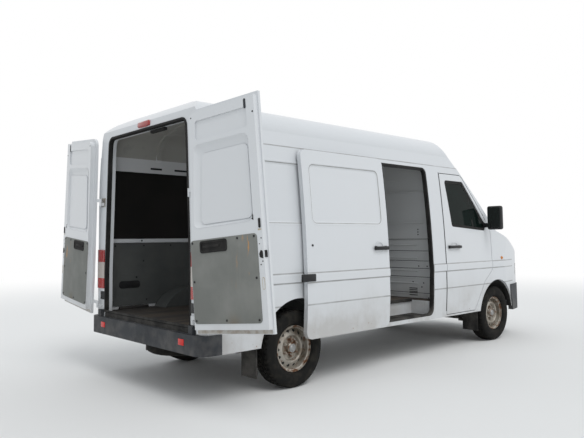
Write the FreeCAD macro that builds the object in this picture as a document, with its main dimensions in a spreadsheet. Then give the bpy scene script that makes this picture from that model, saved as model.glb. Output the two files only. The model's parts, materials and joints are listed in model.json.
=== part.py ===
import FreeCAD, Part
import math
import os
import re
import Sketcher
from FreeCAD import Placement, Rotation, Vector

# Cargo van with a high roof, in millimetres.
# X runs forward, Y to the left and Z up. The origin is on the ground, in the middle of the whole outline.
# The rear doors stand open by half a turn and the sliding door is slid back, as the van is parked.

SIZES = {
    # stance
    "wheelbase": 3550,
    "track": 1640,
    "tyre_radius": 343,
    "tyre_width": 212,
    "rear_overhang": 1010,
    "front_overhang": 972,
    # body section, from the wheels outwards and from the seam up and down
    "wheel_cover": 146,
    "sill_height": 405,
    "sill_tuck": 21,
    "crease_height": 733,
    "ridge_low": 938,
    "ridge_high": 1004,
    "ridge_depth": 7,
    "ridge_slope": 11,
    "side_bow": 14,
    "seam_height": 2158,
    "seam_step": 9,
    "upper_lean": 86,
    "rib_rise": 127,
    "rib_lean": 28,
    "roof_rise": 408,
    "shoulder_drop": 74,
    "shoulder_inset": 225,
    "tail_drop": 161,
    "tail_reach": 300,
    "wall": 62,
    "roof_wall": 46,
    "nose_wall": 58,
    "rear_frame": 72,
    "rear_corner": 75,
    "roof_bow_depth": 24,
    "roof_bow_width": 54,
    # nose and windscreen, from the front axle and the bumper
    "bumper_stand": 67,
    "nose_sweep_centre": -2950,
    "nose_taper": 406,
    "nose_low_crease": 760,
    "nose_high_crease": 985,
    "bonnet_lip_height": 1085,
    "bonnet_lip_setback": 65,
    "bonnet_inset": 211,
    "bonnet_foot": 1010,
    "windscreen_foot_height": 1395,
    "windscreen_foot_reach": 175,
    "windscreen_head_drop": 40,
    "windscreen_head_reach": -555,
    "windscreen_post": 151,
    "brow_drop": 181,
    "brow_reach": -835,
    "lamp_foot": 800,
    "lamp_head": 960,
    "lamp_inset": 86,
    "lamp_width": 350,
    "lamp_depth": 46,
    "grille_play": 6,
    "grille_depth": 24,
    # rear opening and its doors
    "rear_post": 218,
    "rear_post_head": 186,
    "rear_header": 80,
    "rear_opening_corner": 62,
    "rear_door_lap": 20,
    "rear_door_skin": 24,
    "rear_door_plug": 40,
    "rear_door_gap": 6,
    "rear_door_foot_lap": 14,
    "rear_box_play": 6,
    "rear_box_rise": 22,
    "door_pocket_low": 1392,
    "door_pocket_head_drop": 113,
    "door_pocket_edge": 90,
    "door_pocket_hinge_edge": 58,
    "door_pocket_depth": 24,
    "door_panel_rise": 9,
    "hinge_inset": 124,
    "rear_hinge_lean": 2.5,
    "rear_hinge_out": 10,
    "rear_left_open": 183,
    "rear_right_open": 191,
    "hinge_radius": 13,
    "hinge_leaf": 34,
    "hinge_low_rise": 90,
    "hinge_high_drop": 458,
    "running_gap": 0.3,
    "tail_lamp_foot": 845,
    "tail_lamp_head": 1225,
    "tail_lamp_stand": 9,
    "brake_lamp_half": 56,
    "brake_lamp_height": 32,
    # sliding door, from the post behind the cab door
    "slide_post": 243,
    "slide_length": 1180,
    "slide_travel": 920,
    "slide_outset": 70,
    "slide_foot_rise": 19,
    "slide_head_drop": 18,
    "slide_wall": 46,
    "slide_lap": 22,
    "slide_corner": 70,
    "side_step_depth": 260,
    "recess_depth": 9,
    "recess_margin": 88,
    "recess_low": 1455,
    "recess_head_drop": 148,
    "recess_corner": 60,
    # cab doors, back from the front axle
    "cab_door_back": 1165,
    "cab_door_ahead": 132,
    "door_foot_rise": 27,
    "door_head_drop": 86,
    "cab_door_gap": 8,
    "window_head_drop": 74,
    "glass_thick": 5,
    "glass_depth": 12,
    # floors and partition
    "floor_thick": 38,
    "plywood_thick": 12,
    "lining_top": 1292,
    "lining_thick": 7,
    "partition_back": 1318,
    "partition_thick": 26,
    "cab_floor_rise": 12,
    "bulkhead_ahead": 10,
    "sheet_thick": 16,
    "tyre_play": 39,
    "arch_box_wall": 10,
    "rear_arch_play": 89,
    "front_arch_play": 69,
    "front_house_play": 44,
    "arch_lift": 18,
    # bumpers
    "front_bumper_foot": 352,
    "front_bumper_head": 688,
    "rear_bumper_reach": 50,
    "rear_bumper_rise": 7,
    "rear_bumper_drop": 28,
    "horn_rise": 40,
    # running gear
    "spare_room": 107,
    "rail_width": 70,
    "rail_depth": 92,
    "axle_clearance": 83,
    "tank_play": 20,
    "tow_hole_radius": 6.5,
    "tow_pitch": 120,
    "kingpin_inset": 165,
    "stub_radius": 30,
    "axle_tube_radius": 44,
    "axle_case_radius": 150,
    "rim_radius": 205,
    "rim_width": 152,
    "rim_hole_radius": 12,
    "rim_hole_count": 14,
    # cab inside
    "seat_height": 348,
    "seat_pad": 160,
    "seat_gap": 100,
    "driver_width": 500,
    "driver_inset": 286,
    "bench_inset": 146,
    "steering_inset": 536,
    "steering_height": 1252,
    "steering_radius": 205,
    # door mirrors
    "mirror_stand": 34,
    "mirror_width": 188,
    "mirror_height": 295,
    "mirror_rise": 15,
}

# Sizes worked out from the driving ones. Each is a formula in the same names.
FORMULAS = {
    "waist_half": "(track / 2 + wheel_cover)",
    "sill_half": "(waist_half - sill_tuck)",
    "seam_half": "(waist_half - upper_lean)",
    "rib_half": "(seam_half - rib_lean)",
    "shoulder_half": "(seam_half - shoulder_inset)",
    "nose_half": "(waist_half - nose_taper)",
    "bonnet_half": "(waist_half - bonnet_inset)",
    "roof_height": "(seam_height + roof_rise)",
    "rib_height": "(seam_height + rib_rise)",
    "shoulder_height": "(roof_height - shoulder_drop)",
    "rear_roof_edge": "(roof_height - tail_drop)",
    "brow_height": "(roof_height - brow_drop)",
    "windscreen_head_height": "(seam_height - windscreen_head_drop)",
    "nose_reach": "(front_overhang - bumper_stand)",
    "bonnet_lip_reach": "(nose_reach - bonnet_lip_setback)",
    "rail_low": "(tyre_radius + axle_tube_radius + axle_clearance)",
    "rail_top": "(rail_low + rail_depth)",
    "floor_top": "(rail_top + floor_thick)",
    "ply_top": "(floor_top + plywood_thick)",
    "cab_floor_top": "(floor_top + cab_floor_rise)",
    "rear_opening_half": "(waist_half - rear_post)",
    "rear_opening_head_half": "(seam_half - rear_post_head)",
    "rear_opening_head": "(rear_roof_edge - rear_header)",
    "rear_hinge_half": "(waist_half - hinge_inset)",
    "hinge_low": "(floor_top + hinge_low_rise)",
    "hinge_high": "(seam_height - hinge_high_drop)",
    "hinge_back": "(rear_door_gap + rear_door_skin + rear_hinge_out)",
    "box_depth": "(hinge_back + rear_door_plug)",
    "box_edge": "(rear_hinge_half - rear_opening_half + rear_door_gap + rear_box_play)",
    "opened_reach": "(rear_overhang + hinge_back + box_depth * cos(rear_left_open - 180)"
                    " - box_edge * sin(rear_left_open - 180))",
    "rear_axle": "((opened_reach - wheelbase - front_overhang) / 2)",
    "front_axle": "(rear_axle + wheelbase)",
    "rear_face": "(rear_axle - rear_overhang)",
    "cab_door_rear": "(front_axle - cab_door_back)",
    "cab_door_front": "(front_axle - cab_door_ahead)",
    "cab_door_foot": "(sill_height + door_foot_rise)",
    "cab_door_head": "(seam_height - door_head_drop)",
    "partition_x": "(front_axle - partition_back)",
    "bulkhead_x": "(front_axle + bulkhead_ahead)",
    "slide_front": "(cab_door_rear - slide_post)",
    "slide_rear": "(slide_front - slide_length)",
    "slide_foot": "(sill_height + slide_foot_rise)",
    "slide_head": "(seam_height - slide_head_drop)",
    "arch_box_half": "(track / 2 - tyre_width / 2 - tyre_play)",
    "rear_arch_radius": "(tyre_radius + rear_arch_play)",
    "front_arch_radius": "(tyre_radius + front_arch_play)",
    "front_house_radius": "(front_arch_radius + front_house_play)",
    "rail_half": "(tyre_radius + spare_room)",
    "kingpin_half": "(track / 2 - kingpin_inset)",
    "bumper_half": "(waist_half + 10)",
}

doc = FreeCAD.newDocument("CargoVan")
sheet = doc.addObject("Spreadsheet::Sheet", "Sizes")
for row, (alias, number) in enumerate(SIZES.items(), 1):
    sheet.set(f"A{row}", alias)
    sheet.set(f"B{row}", str(number))
    sheet.setAlias(f"B{row}", alias)
doc.recompute()

parts = []


def bound(text):
    """A formula with every name of a size turned into its cell in the sheet."""
    def cell(match):
        word = match.group()
        if word in FORMULAS:
            return bound(FORMULAS[word])
        return f"Sizes.{word}" if word in SIZES else word

    return re.sub(r"[A-Za-z_][A-Za-z_0-9]*", cell, str(text))


def size(text):
    """The value of a formula in the sheet's names."""
    return float(sheet.evalExpression(bound(text)))


def keep(item, label):
    """Names an object as one of the van's pieces."""
    item.Label = label
    parts.append(item)
    return item


def feature(label, shape):
    """A piece whose shape is worked out below from the sheet's sizes."""
    item = doc.addObject("Part::Feature", label)
    item.Shape = shape
    return keep(item, label)


def place(item, x, y, z, rotation=None):
    """Binds an object's place to formulas."""
    if rotation is not None:
        item.Placement = Placement(Vector(0, 0, 0), rotation)
    for axis, text in zip("xyz", (x, y, z)):
        item.setExpression(f"Placement.Base.{axis}", bound(text))
    return item


def block(name, x, y, z, length, width, height):
    """A box bound to the sheet, from its low corner."""
    item = doc.addObject("Part::Box", name)
    for key, text in zip(("Length", "Width", "Height"), (length, width, height)):
        item.setExpression(key, bound(text))
    return place(item, x, y, z)


TURNS = {
    "x": Rotation(Vector(0, 1, 0), 90),
    "y": Rotation(Vector(1, 0, 0), -90),
    "z": Rotation(),
}


def rod(name, x, y, z, radius, length, along="z"):
    """A cylinder bound to the sheet, from the middle of its first end."""
    item = doc.addObject("Part::Cylinder", name)
    item.setExpression("Radius", bound(radius))
    item.setExpression("Height", bound(length))
    return place(item, x, y, z, TURNS[along])


def joined(name, items):
    """Several objects made one."""
    item = doc.addObject("Part::MultiFuse", name)
    item.Shapes = items
    return item


def mirrored(name, source):
    """The same object on the other side of the van."""
    item = doc.addObject("Part::Mirroring", name)
    item.Source = source
    item.Normal = Vector(0, 1, 0)
    return item


def pair(name, source):
    """An object and its mirror image, as one."""
    return joined(name, [source, mirrored(name + "_other", source)])


def cut(name, base, tool):
    """One object less another."""
    item = doc.addObject("Part::Cut", name)
    item.Base = base
    item.Tool = tool
    return item


def face_of(edges):
    """The flat face inside a closed run of edges."""
    return Part.Face(Part.Wire(Part.__sortEdges__(edges)))


def slab(x0, x1, y0, y1, z0, z1):
    """A box from its two corners, given as numbers."""
    return Part.makeBox(x1 - x0, y1 - y0, z1 - z0, Vector(x0, y0, z0))


def side_prism(outline, y0, y1, corner=0):
    """An outline of (x, z) points pushed across the van, with its corners rounded."""
    face = Part.Face(Part.makePolygon([Vector(x, y0, z) for x, z in outline + outline[:1]]))
    solid = face.extrude(Vector(0, y1 - y0, 0))
    if corner:
        across = [e for e in solid.Edges if abs(e.tangentAt(e.FirstParameter).y) > 0.99]
        solid = solid.makeFillet(corner, across)
    return solid


def end_prism(outline, x0, x1, corner=0):
    """An outline of (y, z) points pushed along the van, with its corners rounded."""
    face = Part.Face(Part.makePolygon([Vector(x0, y, z) for y, z in outline + outline[:1]]))
    solid = face.extrude(Vector(x1 - x0, 0, 0))
    if corner:
        along = [e for e in solid.Edges if abs(e.tangentAt(e.FirstParameter).x) > 0.99]
        solid = solid.makeFillet(corner, along)
    return solid


# Where things are along the van
rear_axle = size("rear_axle")
front_axle = size("front_axle")
rear_face = size("rear_face")
nose_end = front_axle + size("front_overhang") + 128

# How far a cut reaches past the van's sides, roof and ends
WIDE = size("waist_half") + 434
HIGH = size("roof_height") + 434
LONG = size("wheelbase") + 1450


# The van's outer form


def across(x0, x1, inset, drop, bottom):
    """The body's section pushed along X. Inset and drop move the walls and the roof inwards."""
    waist, seam = size("waist_half") - inset, size("seam_half") - inset
    sill, ridge = size("sill_half") - inset, size("waist_half + ridge_depth") - inset
    rib, shoulder = size("rib_half") - inset, size("shoulder_half") - inset
    low, high, slope = size("ridge_low"), size("ridge_high"), size("ridge_slope")
    seam_z, rib_z = size("seam_height"), size("rib_height")
    shoulder_z, crown = size("shoulder_height") - drop, size("roof_height") - drop
    step = size("seam_step") if not inset else 0

    def v(y, z):
        return Vector(x0, y, z)

    def half(side):
        edges = [Part.makeLine(v(side * sill, bottom), v(side * waist, size("crease_height")))]
        start = size("crease_height")
        if not inset:
            rise = [(waist, low - slope), (ridge, low), (ridge, high), (waist, high + slope)]
            points = [v(side * waist, start)] + [v(side * y, z) for y, z in rise]
            edges += [Part.makeLine(a, b) for a, b in zip(points, points[1:])]
            start = high + slope
        else:
            edges.append(Part.makeLine(v(side * waist, start), v(side * waist, high + slope)))
            start = high + slope
        middle = v(side * ((waist + seam) / 2 + size("side_bow")), (start + seam_z) / 2)
        edges.append(Part.Arc(v(side * waist, start), middle, v(side * seam, seam_z)).toShape())
        foot = v(side * seam, seam_z)
        if step:
            edges.append(Part.makeLine(foot, v(side * (seam - step), seam_z + step)))
            foot = v(side * (seam - step), seam_z + step)
        edges.append(Part.makeLine(foot, v(side * rib, rib_z)))
        lift = (rib - shoulder) * 0.29
        bulge = v(side * (rib - lift), shoulder_z - lift * 1.05)
        edges.append(Part.Arc(v(side * rib, rib_z), bulge, v(side * shoulder, shoulder_z)).toShape())
        return edges

    roof = Part.Arc(v(-shoulder, shoulder_z), v(0, crown), v(shoulder, shoulder_z)).toShape()
    base = Part.makeLine(v(-sill, bottom), v(sill, bottom))
    return face_of(half(1) + half(-1) + [roof, base]).extrude(Vector(x1 - x0, 0, 0))


def from_above(inset, rear, bottom):
    """The body's plan pushed upwards, narrowing round the nose."""
    half = size("waist_half") + 30 - inset
    corner = max(size("rear_corner") - inset, 8)
    nose_x = front_axle + size("nose_reach") + 80
    edge_x = front_axle + size("nose_reach") - 35 - inset * 0.4
    nose_y = size("nose_half") - inset * 0.6
    wing_x, wing_y = front_axle - 60, half
    lamp_x, lamp_y = front_axle + 640, size("waist_half") - 88 - inset

    def v(x, y):
        return Vector(x, y, bottom)

    def side(s):
        inner = size("waist_half") + size("ridge_depth") - inset
        edges = [
            Part.makeLine(v(rear, 0), v(rear, s * (inner - corner))),
            Part.Arc(v(rear, s * (inner - corner)),
                     v(rear + corner * 0.293, s * (inner - corner * 0.293)),
                     v(rear + corner, s * inner)).toShape(),
            Part.makeLine(v(rear + corner, s * inner), v(rear + corner * 1.5, s * wing_y)),
            Part.makeLine(v(rear + corner * 1.5, s * wing_y), v(wing_x, s * wing_y)),
            Part.Arc(v(wing_x, s * wing_y), v(front_axle + 330, s * (lamp_y + 68)),
                     v(lamp_x, s * lamp_y)).toShape(),
            Part.Arc(v(lamp_x, s * lamp_y), v((lamp_x + edge_x) / 2 + 55, s * ((lamp_y + nose_y) / 2 + 45)),
                     v(edge_x, s * nose_y)).toShape(),
            Part.makeLine(v(edge_x, s * nose_y), v(nose_x, s * nose_y)),
            Part.makeLine(v(nose_x, s * nose_y), v(nose_x, 0)),
        ]
        return edges

    return face_of(side(1) + side(-1)).extrude(Vector(0, 0, HIGH))


def from_side(setback, drop, rear, bottom):
    """The body's profile. Its front part is swept round an upright axis, so the screen and nose are curved."""
    f = front_axle - setback
    axis = front_axle + size("nose_sweep_centre")
    top = size("roof_height") + 45
    nose = f + size("nose_reach")
    lip = Vector(f + size("bonnet_lip_reach"), 0, size("bonnet_lip_height") - drop)
    foot = Vector(f + size("windscreen_foot_reach"), 0, size("windscreen_foot_height") - drop)
    head = Vector(f + size("windscreen_head_reach"), 0, size("windscreen_head_height") - drop)
    brow = Vector(f + size("brow_reach"), 0, size("brow_height") - drop)
    crest = Vector(f + size("brow_reach") - 460, 0, size("roof_height") - 6 - drop)
    level = Vector(f - 2100, 0, top - drop)
    bend = Vector(f + size("brow_reach") - 165, 0, size("brow_height") + 118 - drop)
    front = [
        Vector(axis, 0, bottom),
        Vector(nose - 30, 0, bottom),
        Vector(nose, 0, size("nose_low_crease")),
        Vector(nose - 6, 0, size("nose_high_crease") - drop * 0.5),
    ]
    edges = [Part.makeLine(a, b) for a, b in zip(front, front[1:])]
    knee = Vector((front[-1].x + lip.x) / 2 + 22, 0, (front[-1].z + lip.z) / 2 + 12)
    edges.append(Part.Arc(front[-1], knee, lip).toShape())
    rise = Vector((lip.x + foot.x) / 2, 0, (lip.z + foot.z) / 2 + 34)
    edges.append(Part.Arc(lip, rise, foot).toShape())
    edges.append(Part.makeLine(foot, head))
    edges.append(Part.makeLine(head, brow))
    edges.append(Part.Arc(brow, bend, crest).toShape())
    edges.append(Part.makeLine(crest, level))
    edges.append(Part.makeLine(level, Vector(axis, 0, top - drop)))
    edges.append(Part.makeLine(Vector(axis, 0, top - drop), front[0]))
    turned = face_of(edges)
    turned.rotate(Vector(axis, 0, 0), Vector(0, 0, 1), -90)
    swept = turned.revolve(Vector(axis, 0, 0), Vector(0, 0, 1), 180)
    edge_z = size("rear_roof_edge") - drop
    back = [
        Vector(axis, -WIDE, bottom),
        Vector(axis, -WIDE, top - drop),
        Vector(rear + size("tail_reach") + 320, -WIDE, top - drop),
        Vector(rear + size("tail_reach"), -WIDE, size("roof_height") - 12 - drop),
    ]
    outline = [Part.makeLine(a, b) for a, b in zip(back, back[1:])]
    corner = Vector(rear, -WIDE, edge_z)
    outline.append(Part.Arc(back[-1], Vector(rear + 118, -WIDE, edge_z + 92), corner).toShape())
    outline.append(Part.makeLine(corner, Vector(rear, -WIDE, bottom)))
    outline.append(Part.makeLine(Vector(rear, -WIDE, bottom), back[0]))
    straight = face_of(outline).extrude(Vector(0, 2 * WIDE, 0))
    return straight.fuse(swept).removeSplitter()


def envelope(inset=0, drop=0, setback=0, rear=0, bottom=None):
    """The whole body as one solid, each of its walls moved inwards by its own amount."""
    bottom = size("sill_height") if bottom is None else bottom
    start = rear_face + rear
    walls = across(start - 10, nose_end, inset, drop, bottom)
    solid = walls.common(from_above(inset, start, bottom)).common(from_side(setback, drop, start, bottom))
    return max(solid.Solids, key=lambda s: s.Volume)


HOLLOW_FOOT = size("sill_height") - 85
outer = envelope()
inner = envelope(size("wall"), size("roof_wall"), size("nose_wall"), size("rear_frame"), HOLLOW_FOOT)
shell = outer.cut(inner)


def region(x0, x1, y0, y1, z0, z1):
    """The part of the body's shell inside a box."""
    return shell.common(slab(x0, x1, y0, y1, z0, z1))


def largest(shape):
    """The main solid of a result, without slivers."""
    return max(shape.Solids, key=lambda s: s.Volume)


def moved(solid, x=0, y=0, z=0):
    """A copy of a solid at another place."""
    copy = solid.copy()
    copy.translate(Vector(x, y, z))
    return copy


# Rear opening and the doors' outlines, seen from behind


def rear_outline(out, sill):
    """The left half of the rear opening, grown by a margin above its sill, as (y, z) points."""
    head = size("rear_opening_head") + out
    low, high = size("rear_opening_half") + out, size("rear_opening_head_half") + out
    bend = size("ridge_high")
    return [(low, sill), (low, bend), (high, size("seam_height")), (high - 14, head)]


def rear_hole(out, sill, x0, x1):
    """The rear opening, grown by a margin, as a solid pushed along the van. Its head has round corners."""
    half = rear_outline(out, sill)
    solid = end_prism(half + [(-y, z) for y, z in reversed(half)], x0, x1)
    head = [e for e in solid.Edges
            if abs(e.tangentAt(e.FirstParameter).x) > 0.99 and e.CenterOfMass.z > size("seam_height") + 20]
    return solid.makeFillet(size("rear_opening_corner") + out, head)


frame_depth = size("rear_frame")
opening = rear_hole(0, size("floor_top"), rear_face - 60, rear_face + frame_depth + 60)
shell = shell.cut(opening)

# Wheel arches
hub = size("tyre_radius")
lift = size("arch_lift")


def arch(x, radius, y0, y1):
    """A wheel's round space, across the van."""
    return Part.makeCylinder(radius, y1 - y0, Vector(x, y0, hub + lift), Vector(0, 1, 0))


rear_arches = arch(rear_axle, size("rear_arch_radius"), -WIDE, WIDE)
front_arches = arch(front_axle, size("front_arch_radius"), -WIDE, WIDE)
shell = shell.cut(rear_arches).cut(front_arches)

# Side doorway, on the right
slide_low, slide_high = size("slide_foot"), size("slide_head")
slide_rear, slide_front = size("slide_rear"), size("slide_front")
lap = size("slide_lap")
doorway = side_prism(
    [(slide_rear + lap, slide_low + lap), (slide_front - lap, slide_low + lap),
     (slide_front - lap, slide_high - lap), (slide_rear + lap, slide_high - lap)],
    -WIDE, -size("waist_half - wall - side_step_depth"), size("slide_corner"),
)
shell = shell.cut(doorway)

# Cab doors' outline, seen from the side
gap = size("cab_door_gap")
door_rear, door_front = size("cab_door_rear"), size("cab_door_front")
door_foot, door_head = size("cab_door_foot"), size("cab_door_head")
screen_foot, screen_head = size("windscreen_foot_height"), size("windscreen_head_height")


# The door's edge round the front wheel: back from the axle, up from the door's foot,
# and how far a margin moves the point forward and down
WHEEL_EDGE = [
    (545, 0, 0.4, 1),
    (425, 175, 1, 0.4),
    (330, 330, 1, 0.4),
]


def cab_door_outline(out):
    """The cab door as (x, z) points, grown by a margin all round."""
    return [(door_rear - out, door_foot - out)] + [
        (front_axle - back + out * forward, door_foot + up - out * down) for back, up, forward, down in WHEEL_EDGE
    ] + [
        (door_front + out, door_foot + 470 - out * 0.4),
        (door_front + out, screen_foot + 26 + out * 0.4),
        (door_front - 545 + out * 0.7, door_head - 28 + out * 0.7),
        (door_front - 592, door_head + out),
        (door_rear - out, door_head + out),
    ]


def window_outline(out):
    """The cab door's window as (x, z) points."""
    head = door_head - size("window_head_drop")
    return [
        (door_rear + 160 - out, screen_foot + 51 - out),
        (door_front - 132 + out * 0.5, screen_foot + 3 - out),
        (door_front - 96 + out, screen_foot + 75 - out * 0.3),
        (door_front - 545 + out * 0.5, head + out),
        (door_rear + 88 - out, head + out),
    ]


door_hole = side_prism(cab_door_outline(gap), -WIDE, WIDE, 18)
door_blank = side_prism(cab_door_outline(0), -WIDE, WIDE, 14)
window_hole = side_prism(window_outline(0), -WIDE, WIDE, 38)
door_stock = shell.common(door_blank)
shell = shell.cut(door_hole)

# Windscreen, bonnet, lamps and grille openings in the nose
screen_low = size("waist_half - windscreen_post")
screen_high = size("seam_half - windscreen_post") - 7
screen_outline = [(-screen_low, screen_foot + 42), (screen_low, screen_foot + 42),
                  (screen_high, screen_head - 46), (-screen_high, screen_head - 46)]
screen_hole = end_prism(screen_outline, door_rear + 120, front_axle + 900, 60)
screen_x0, screen_x1 = front_axle - 620, front_axle + 330
screen_hole = screen_hole.common(slab(screen_x0, screen_x1, -WIDE, WIDE, screen_foot - 95, HIGH))
glass = size("glass_thick")
depth = size("glass_depth")
windscreen = largest(screen_hole.common(moved(outer, -depth)).cut(moved(outer, -depth - glass * 1.4)))
shell = shell.cut(screen_hole)

bonnet_rear = front_axle + size("windscreen_foot_reach") + 18
bonnet_front = front_axle + size("bonnet_lip_reach") + 12


def bonnet_prism(out):
    """The bonnet's outline from above, grown by a margin, pushed upwards."""
    foot = size("bonnet_foot") - out
    broad, narrow = size("bonnet_half") + out, size("nose_half") - 20 + out
    outline = [
        Vector(bonnet_rear - out, -broad, foot),
        Vector(bonnet_rear - out, broad, foot),
        Vector(bonnet_front - 120, broad, foot),
        Vector(bonnet_front + out, narrow, foot),
        Vector(bonnet_front + out, -narrow, foot),
        Vector(bonnet_front - 120, -broad, foot),
    ]
    face = Part.Face(Part.makePolygon(outline + outline[:1]))
    return face.extrude(Vector(0, 0, 500))


bonnet = largest(shell.common(bonnet_prism(0)))
shell = shell.cut(bonnet_prism(gap))

lamp_low, lamp_high = size("lamp_foot"), size("lamp_head")
lamp_y1 = size("waist_half - lamp_inset")
lamp_y0 = lamp_y1 - size("lamp_width")
nose_x0 = front_axle + size("nose_reach") - 345
lamp_holes = [slab(nose_x0, nose_end, y, y + size("lamp_width"), lamp_low, lamp_high) for y in (lamp_y0, -lamp_y1)]
headlamps = [largest(outer.common(hole).cut(moved(outer, -size("lamp_depth")))) for hole in lamp_holes]
grille_half = size("nose_half") - 65
grille_low, grille_high = lamp_low + size("grille_play"), lamp_high - 2
grille_hole = end_prism([(-grille_half, grille_low), (grille_half, grille_low),
                         (grille_half + 10, grille_high), (-grille_half - 10, grille_high)], nose_x0, nose_end, 12)
BAR_COUNT = 4
bar_pitch = (grille_high - grille_low) / BAR_COUNT
grille_skin = outer.cut(moved(outer, -size("grille_depth")))
bars = []
for number in range(BAR_COUNT):
    z = grille_low + bar_pitch * number
    bars.append(grille_skin.common(slab(nose_x0, nose_end, -grille_half, grille_half, z, z + bar_pitch * 0.42)))
frame_bars = [grille_skin.common(slab(nose_x0, nose_end, y - 16, y + 16, grille_low, grille_high))
              for y in (16 - grille_half, 0, grille_half - 16)]
backing = moved(outer, -size("grille_depth")).cut(moved(outer, -size("grille_depth") - 6)).common(
    slab(nose_x0, nose_end, -grille_half, grille_half, grille_low, grille_high))
grille = largest(bars[0].multiFuse(bars[1:] + frame_bars + [backing]).common(grille_hole).removeSplitter())
for hole in lamp_holes + [grille_hole]:
    shell = shell.cut(hole)

# Tail lamps stand in the rear corners
lamp_z0, lamp_z1 = size("tail_lamp_foot"), size("tail_lamp_head")
tail_stock = moved(outer, -size("tail_lamp_stand")).fuse(outer)
lamp_y0, lamp_y1 = size("rear_opening_half") + 25, size("waist_half") + 19
brake_half = size("brake_lamp_half")
brake_high = size("rear_roof_edge") - 21
tail_boxes = [
    slab(rear_face - 40, rear_face + 92, lamp_y0, lamp_y1, lamp_z0, lamp_z1),
    slab(rear_face - 40, rear_face + 92, -lamp_y1, -lamp_y0, lamp_z0, lamp_z1),
    slab(rear_face - 40, rear_face + 30, -brake_half, brake_half, brake_high - size("brake_lamp_height"), brake_high),
]
rear_lamps = [largest(tail_stock.common(box).cut(inner)) for box in tail_boxes]
for box in tail_boxes:
    shell = shell.cut(box)

# The shell parted where the real panels meet
seam = size("seam_height")
back_x, post_x, nose_x = rear_face - 50, door_rear - gap, door_front + gap
roof = largest(region(back_x, nose_x, -WIDE, WIDE, seam, HIGH))
left_side = largest(region(back_x, post_x, 0, WIDE, 0, seam))
right_side = largest(region(back_x, post_x, -WIDE, 0, 0, seam))
cab = region(post_x, nose_x, -WIDE, WIDE, 0, seam)
nose = region(nose_x, nose_end, -WIDE, WIDE, 0, seam)

# Window-like pressings in the side panels
recess_low, recess_high = size("recess_low"), size("seam_height - recess_head_drop")
margin = size("recess_margin")
recess_corner = size("recess_corner")


def recess_prism(x0, x1):
    """The outline of a window-like pressing, pushed across the van."""
    corners = [(x0, recess_low), (x1, recess_low), (x1, recess_high), (x0, recess_high)]
    return side_prism(corners, -WIDE, WIDE, recess_corner)


def pressed_in(panel, side, x0, x1):
    """A side panel with one recess pressed into its skin."""
    y0, y1 = sorted((0, side * WIDE))
    skin = recess_prism(x0, x1).common(outer).common(slab(x0, x1, y0, y1, 0, HIGH))
    return panel.cut(skin.cut(moved(outer, 0, -side * size("recess_depth"))))


quarter_x0, quarter_x1 = rear_face + 2 * margin, slide_rear - margin
left_side = pressed_in(left_side, 1, quarter_x0, quarter_x1)
left_side = pressed_in(left_side, 1, slide_rear + margin, slide_front - margin)
right_side = pressed_in(right_side, -1, quarter_x0, quarter_x1)

# Bows across the roof, inside
BOW_COUNT = 4
bow_depth, bow_width = size("roof_bow_depth"), size("roof_bow_width")
bow_hollow = envelope(size("wall") + bow_depth, size("roof_wall") + bow_depth, size("nose_wall"), size("rear_frame"),
                      HOLLOW_FOOT)
bow_room = size("partition_x") - rear_face - frame_depth
bows = []
for number in range(BOW_COUNT):
    x = rear_face + frame_depth + bow_room * (number + 0.75) / (BOW_COUNT + 0.5)
    bow_slab = slab(x, x + bow_width, -WIDE, WIDE, seam + 4, HIGH)
    bows.append(largest(inner.common(bow_slab).cut(bow_hollow)))
feature("high_roof", largest(roof.multiFuse(bows).removeSplitter()))
feature("left_side_panel", largest(left_side))
feature("right_side_panel", largest(right_side))
feature("cab_shell", cab)

# The hinge plates that carry the bonnet, half on the cab's side and half under the bonnet
plates = []
for side in (1, -1):
    y0, y1 = sorted((side * (size("bonnet_half") - 195), side * (size("bonnet_half") - 115)))
    behind = slab(bonnet_rear - 60, bonnet_rear - gap, y0, y1, size("bonnet_foot"), HIGH)
    under = slab(bonnet_rear - gap, bonnet_rear + 34, y0, y1, size("bonnet_foot"), HIGH)
    plate_floor = moved(inner, 0, 0, -14)
    plates.append(inner.common(behind).cut(plate_floor))
    plates.append(moved(inner, 0, 0, -size("running_gap")).common(under).cut(plate_floor))
feature("front_wings", largest(nose.multiFuse(plates).removeSplitter()))
feature("windscreen", windscreen)
feature("bonnet", bonnet)
feature("grille", grille)
feature("headlamps", Part.makeCompound(headlamps))
feature("rear_lamps", Part.makeCompound(rear_lamps))


def half_of(solid, side):
    """The part of a solid on one side of the middle plane."""
    y0, y1 = (0, WIDE) if side > 0 else (-WIDE, 0)
    return largest(solid.common(slab(-LONG, LONG, y0, y1, 0, HIGH)))


for word, side in (("left", 1), ("right", -1)):
    leaf = half_of(door_stock, side).cut(window_hole)
    feature(f"front_{word}_door", largest(leaf))
    pane = window_hole.common(moved(outer, 0, -side * depth)).cut(moved(outer, 0, -side * (depth + glass)))
    feature(f"front_{word}_door_glass", half_of(pane, side))


# Rear doors, made closed and then turned about their leaning hinge lines
hinge_x = rear_face - size("hinge_back")
lean = math.radians(size("rear_hinge_lean"))
knuckle, leaf_high, play = size("hinge_radius"), size("hinge_leaf"), size("running_gap")
door_gap, skin, plug = size("rear_door_gap"), size("rear_door_skin"), size("rear_door_plug")


def hinge_line(side):
    """A point on a rear door's hinge line and the line's direction."""
    point = Vector(hinge_x, side * size("rear_hinge_half"), size("hinge_low"))
    return point, Vector(0, -side * math.sin(lean), math.cos(lean))


def on_hinge(side, height):
    """The point of a hinge line at a height."""
    point, way = hinge_line(side)
    return point + way * ((height - point.z) / way.z)


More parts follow.
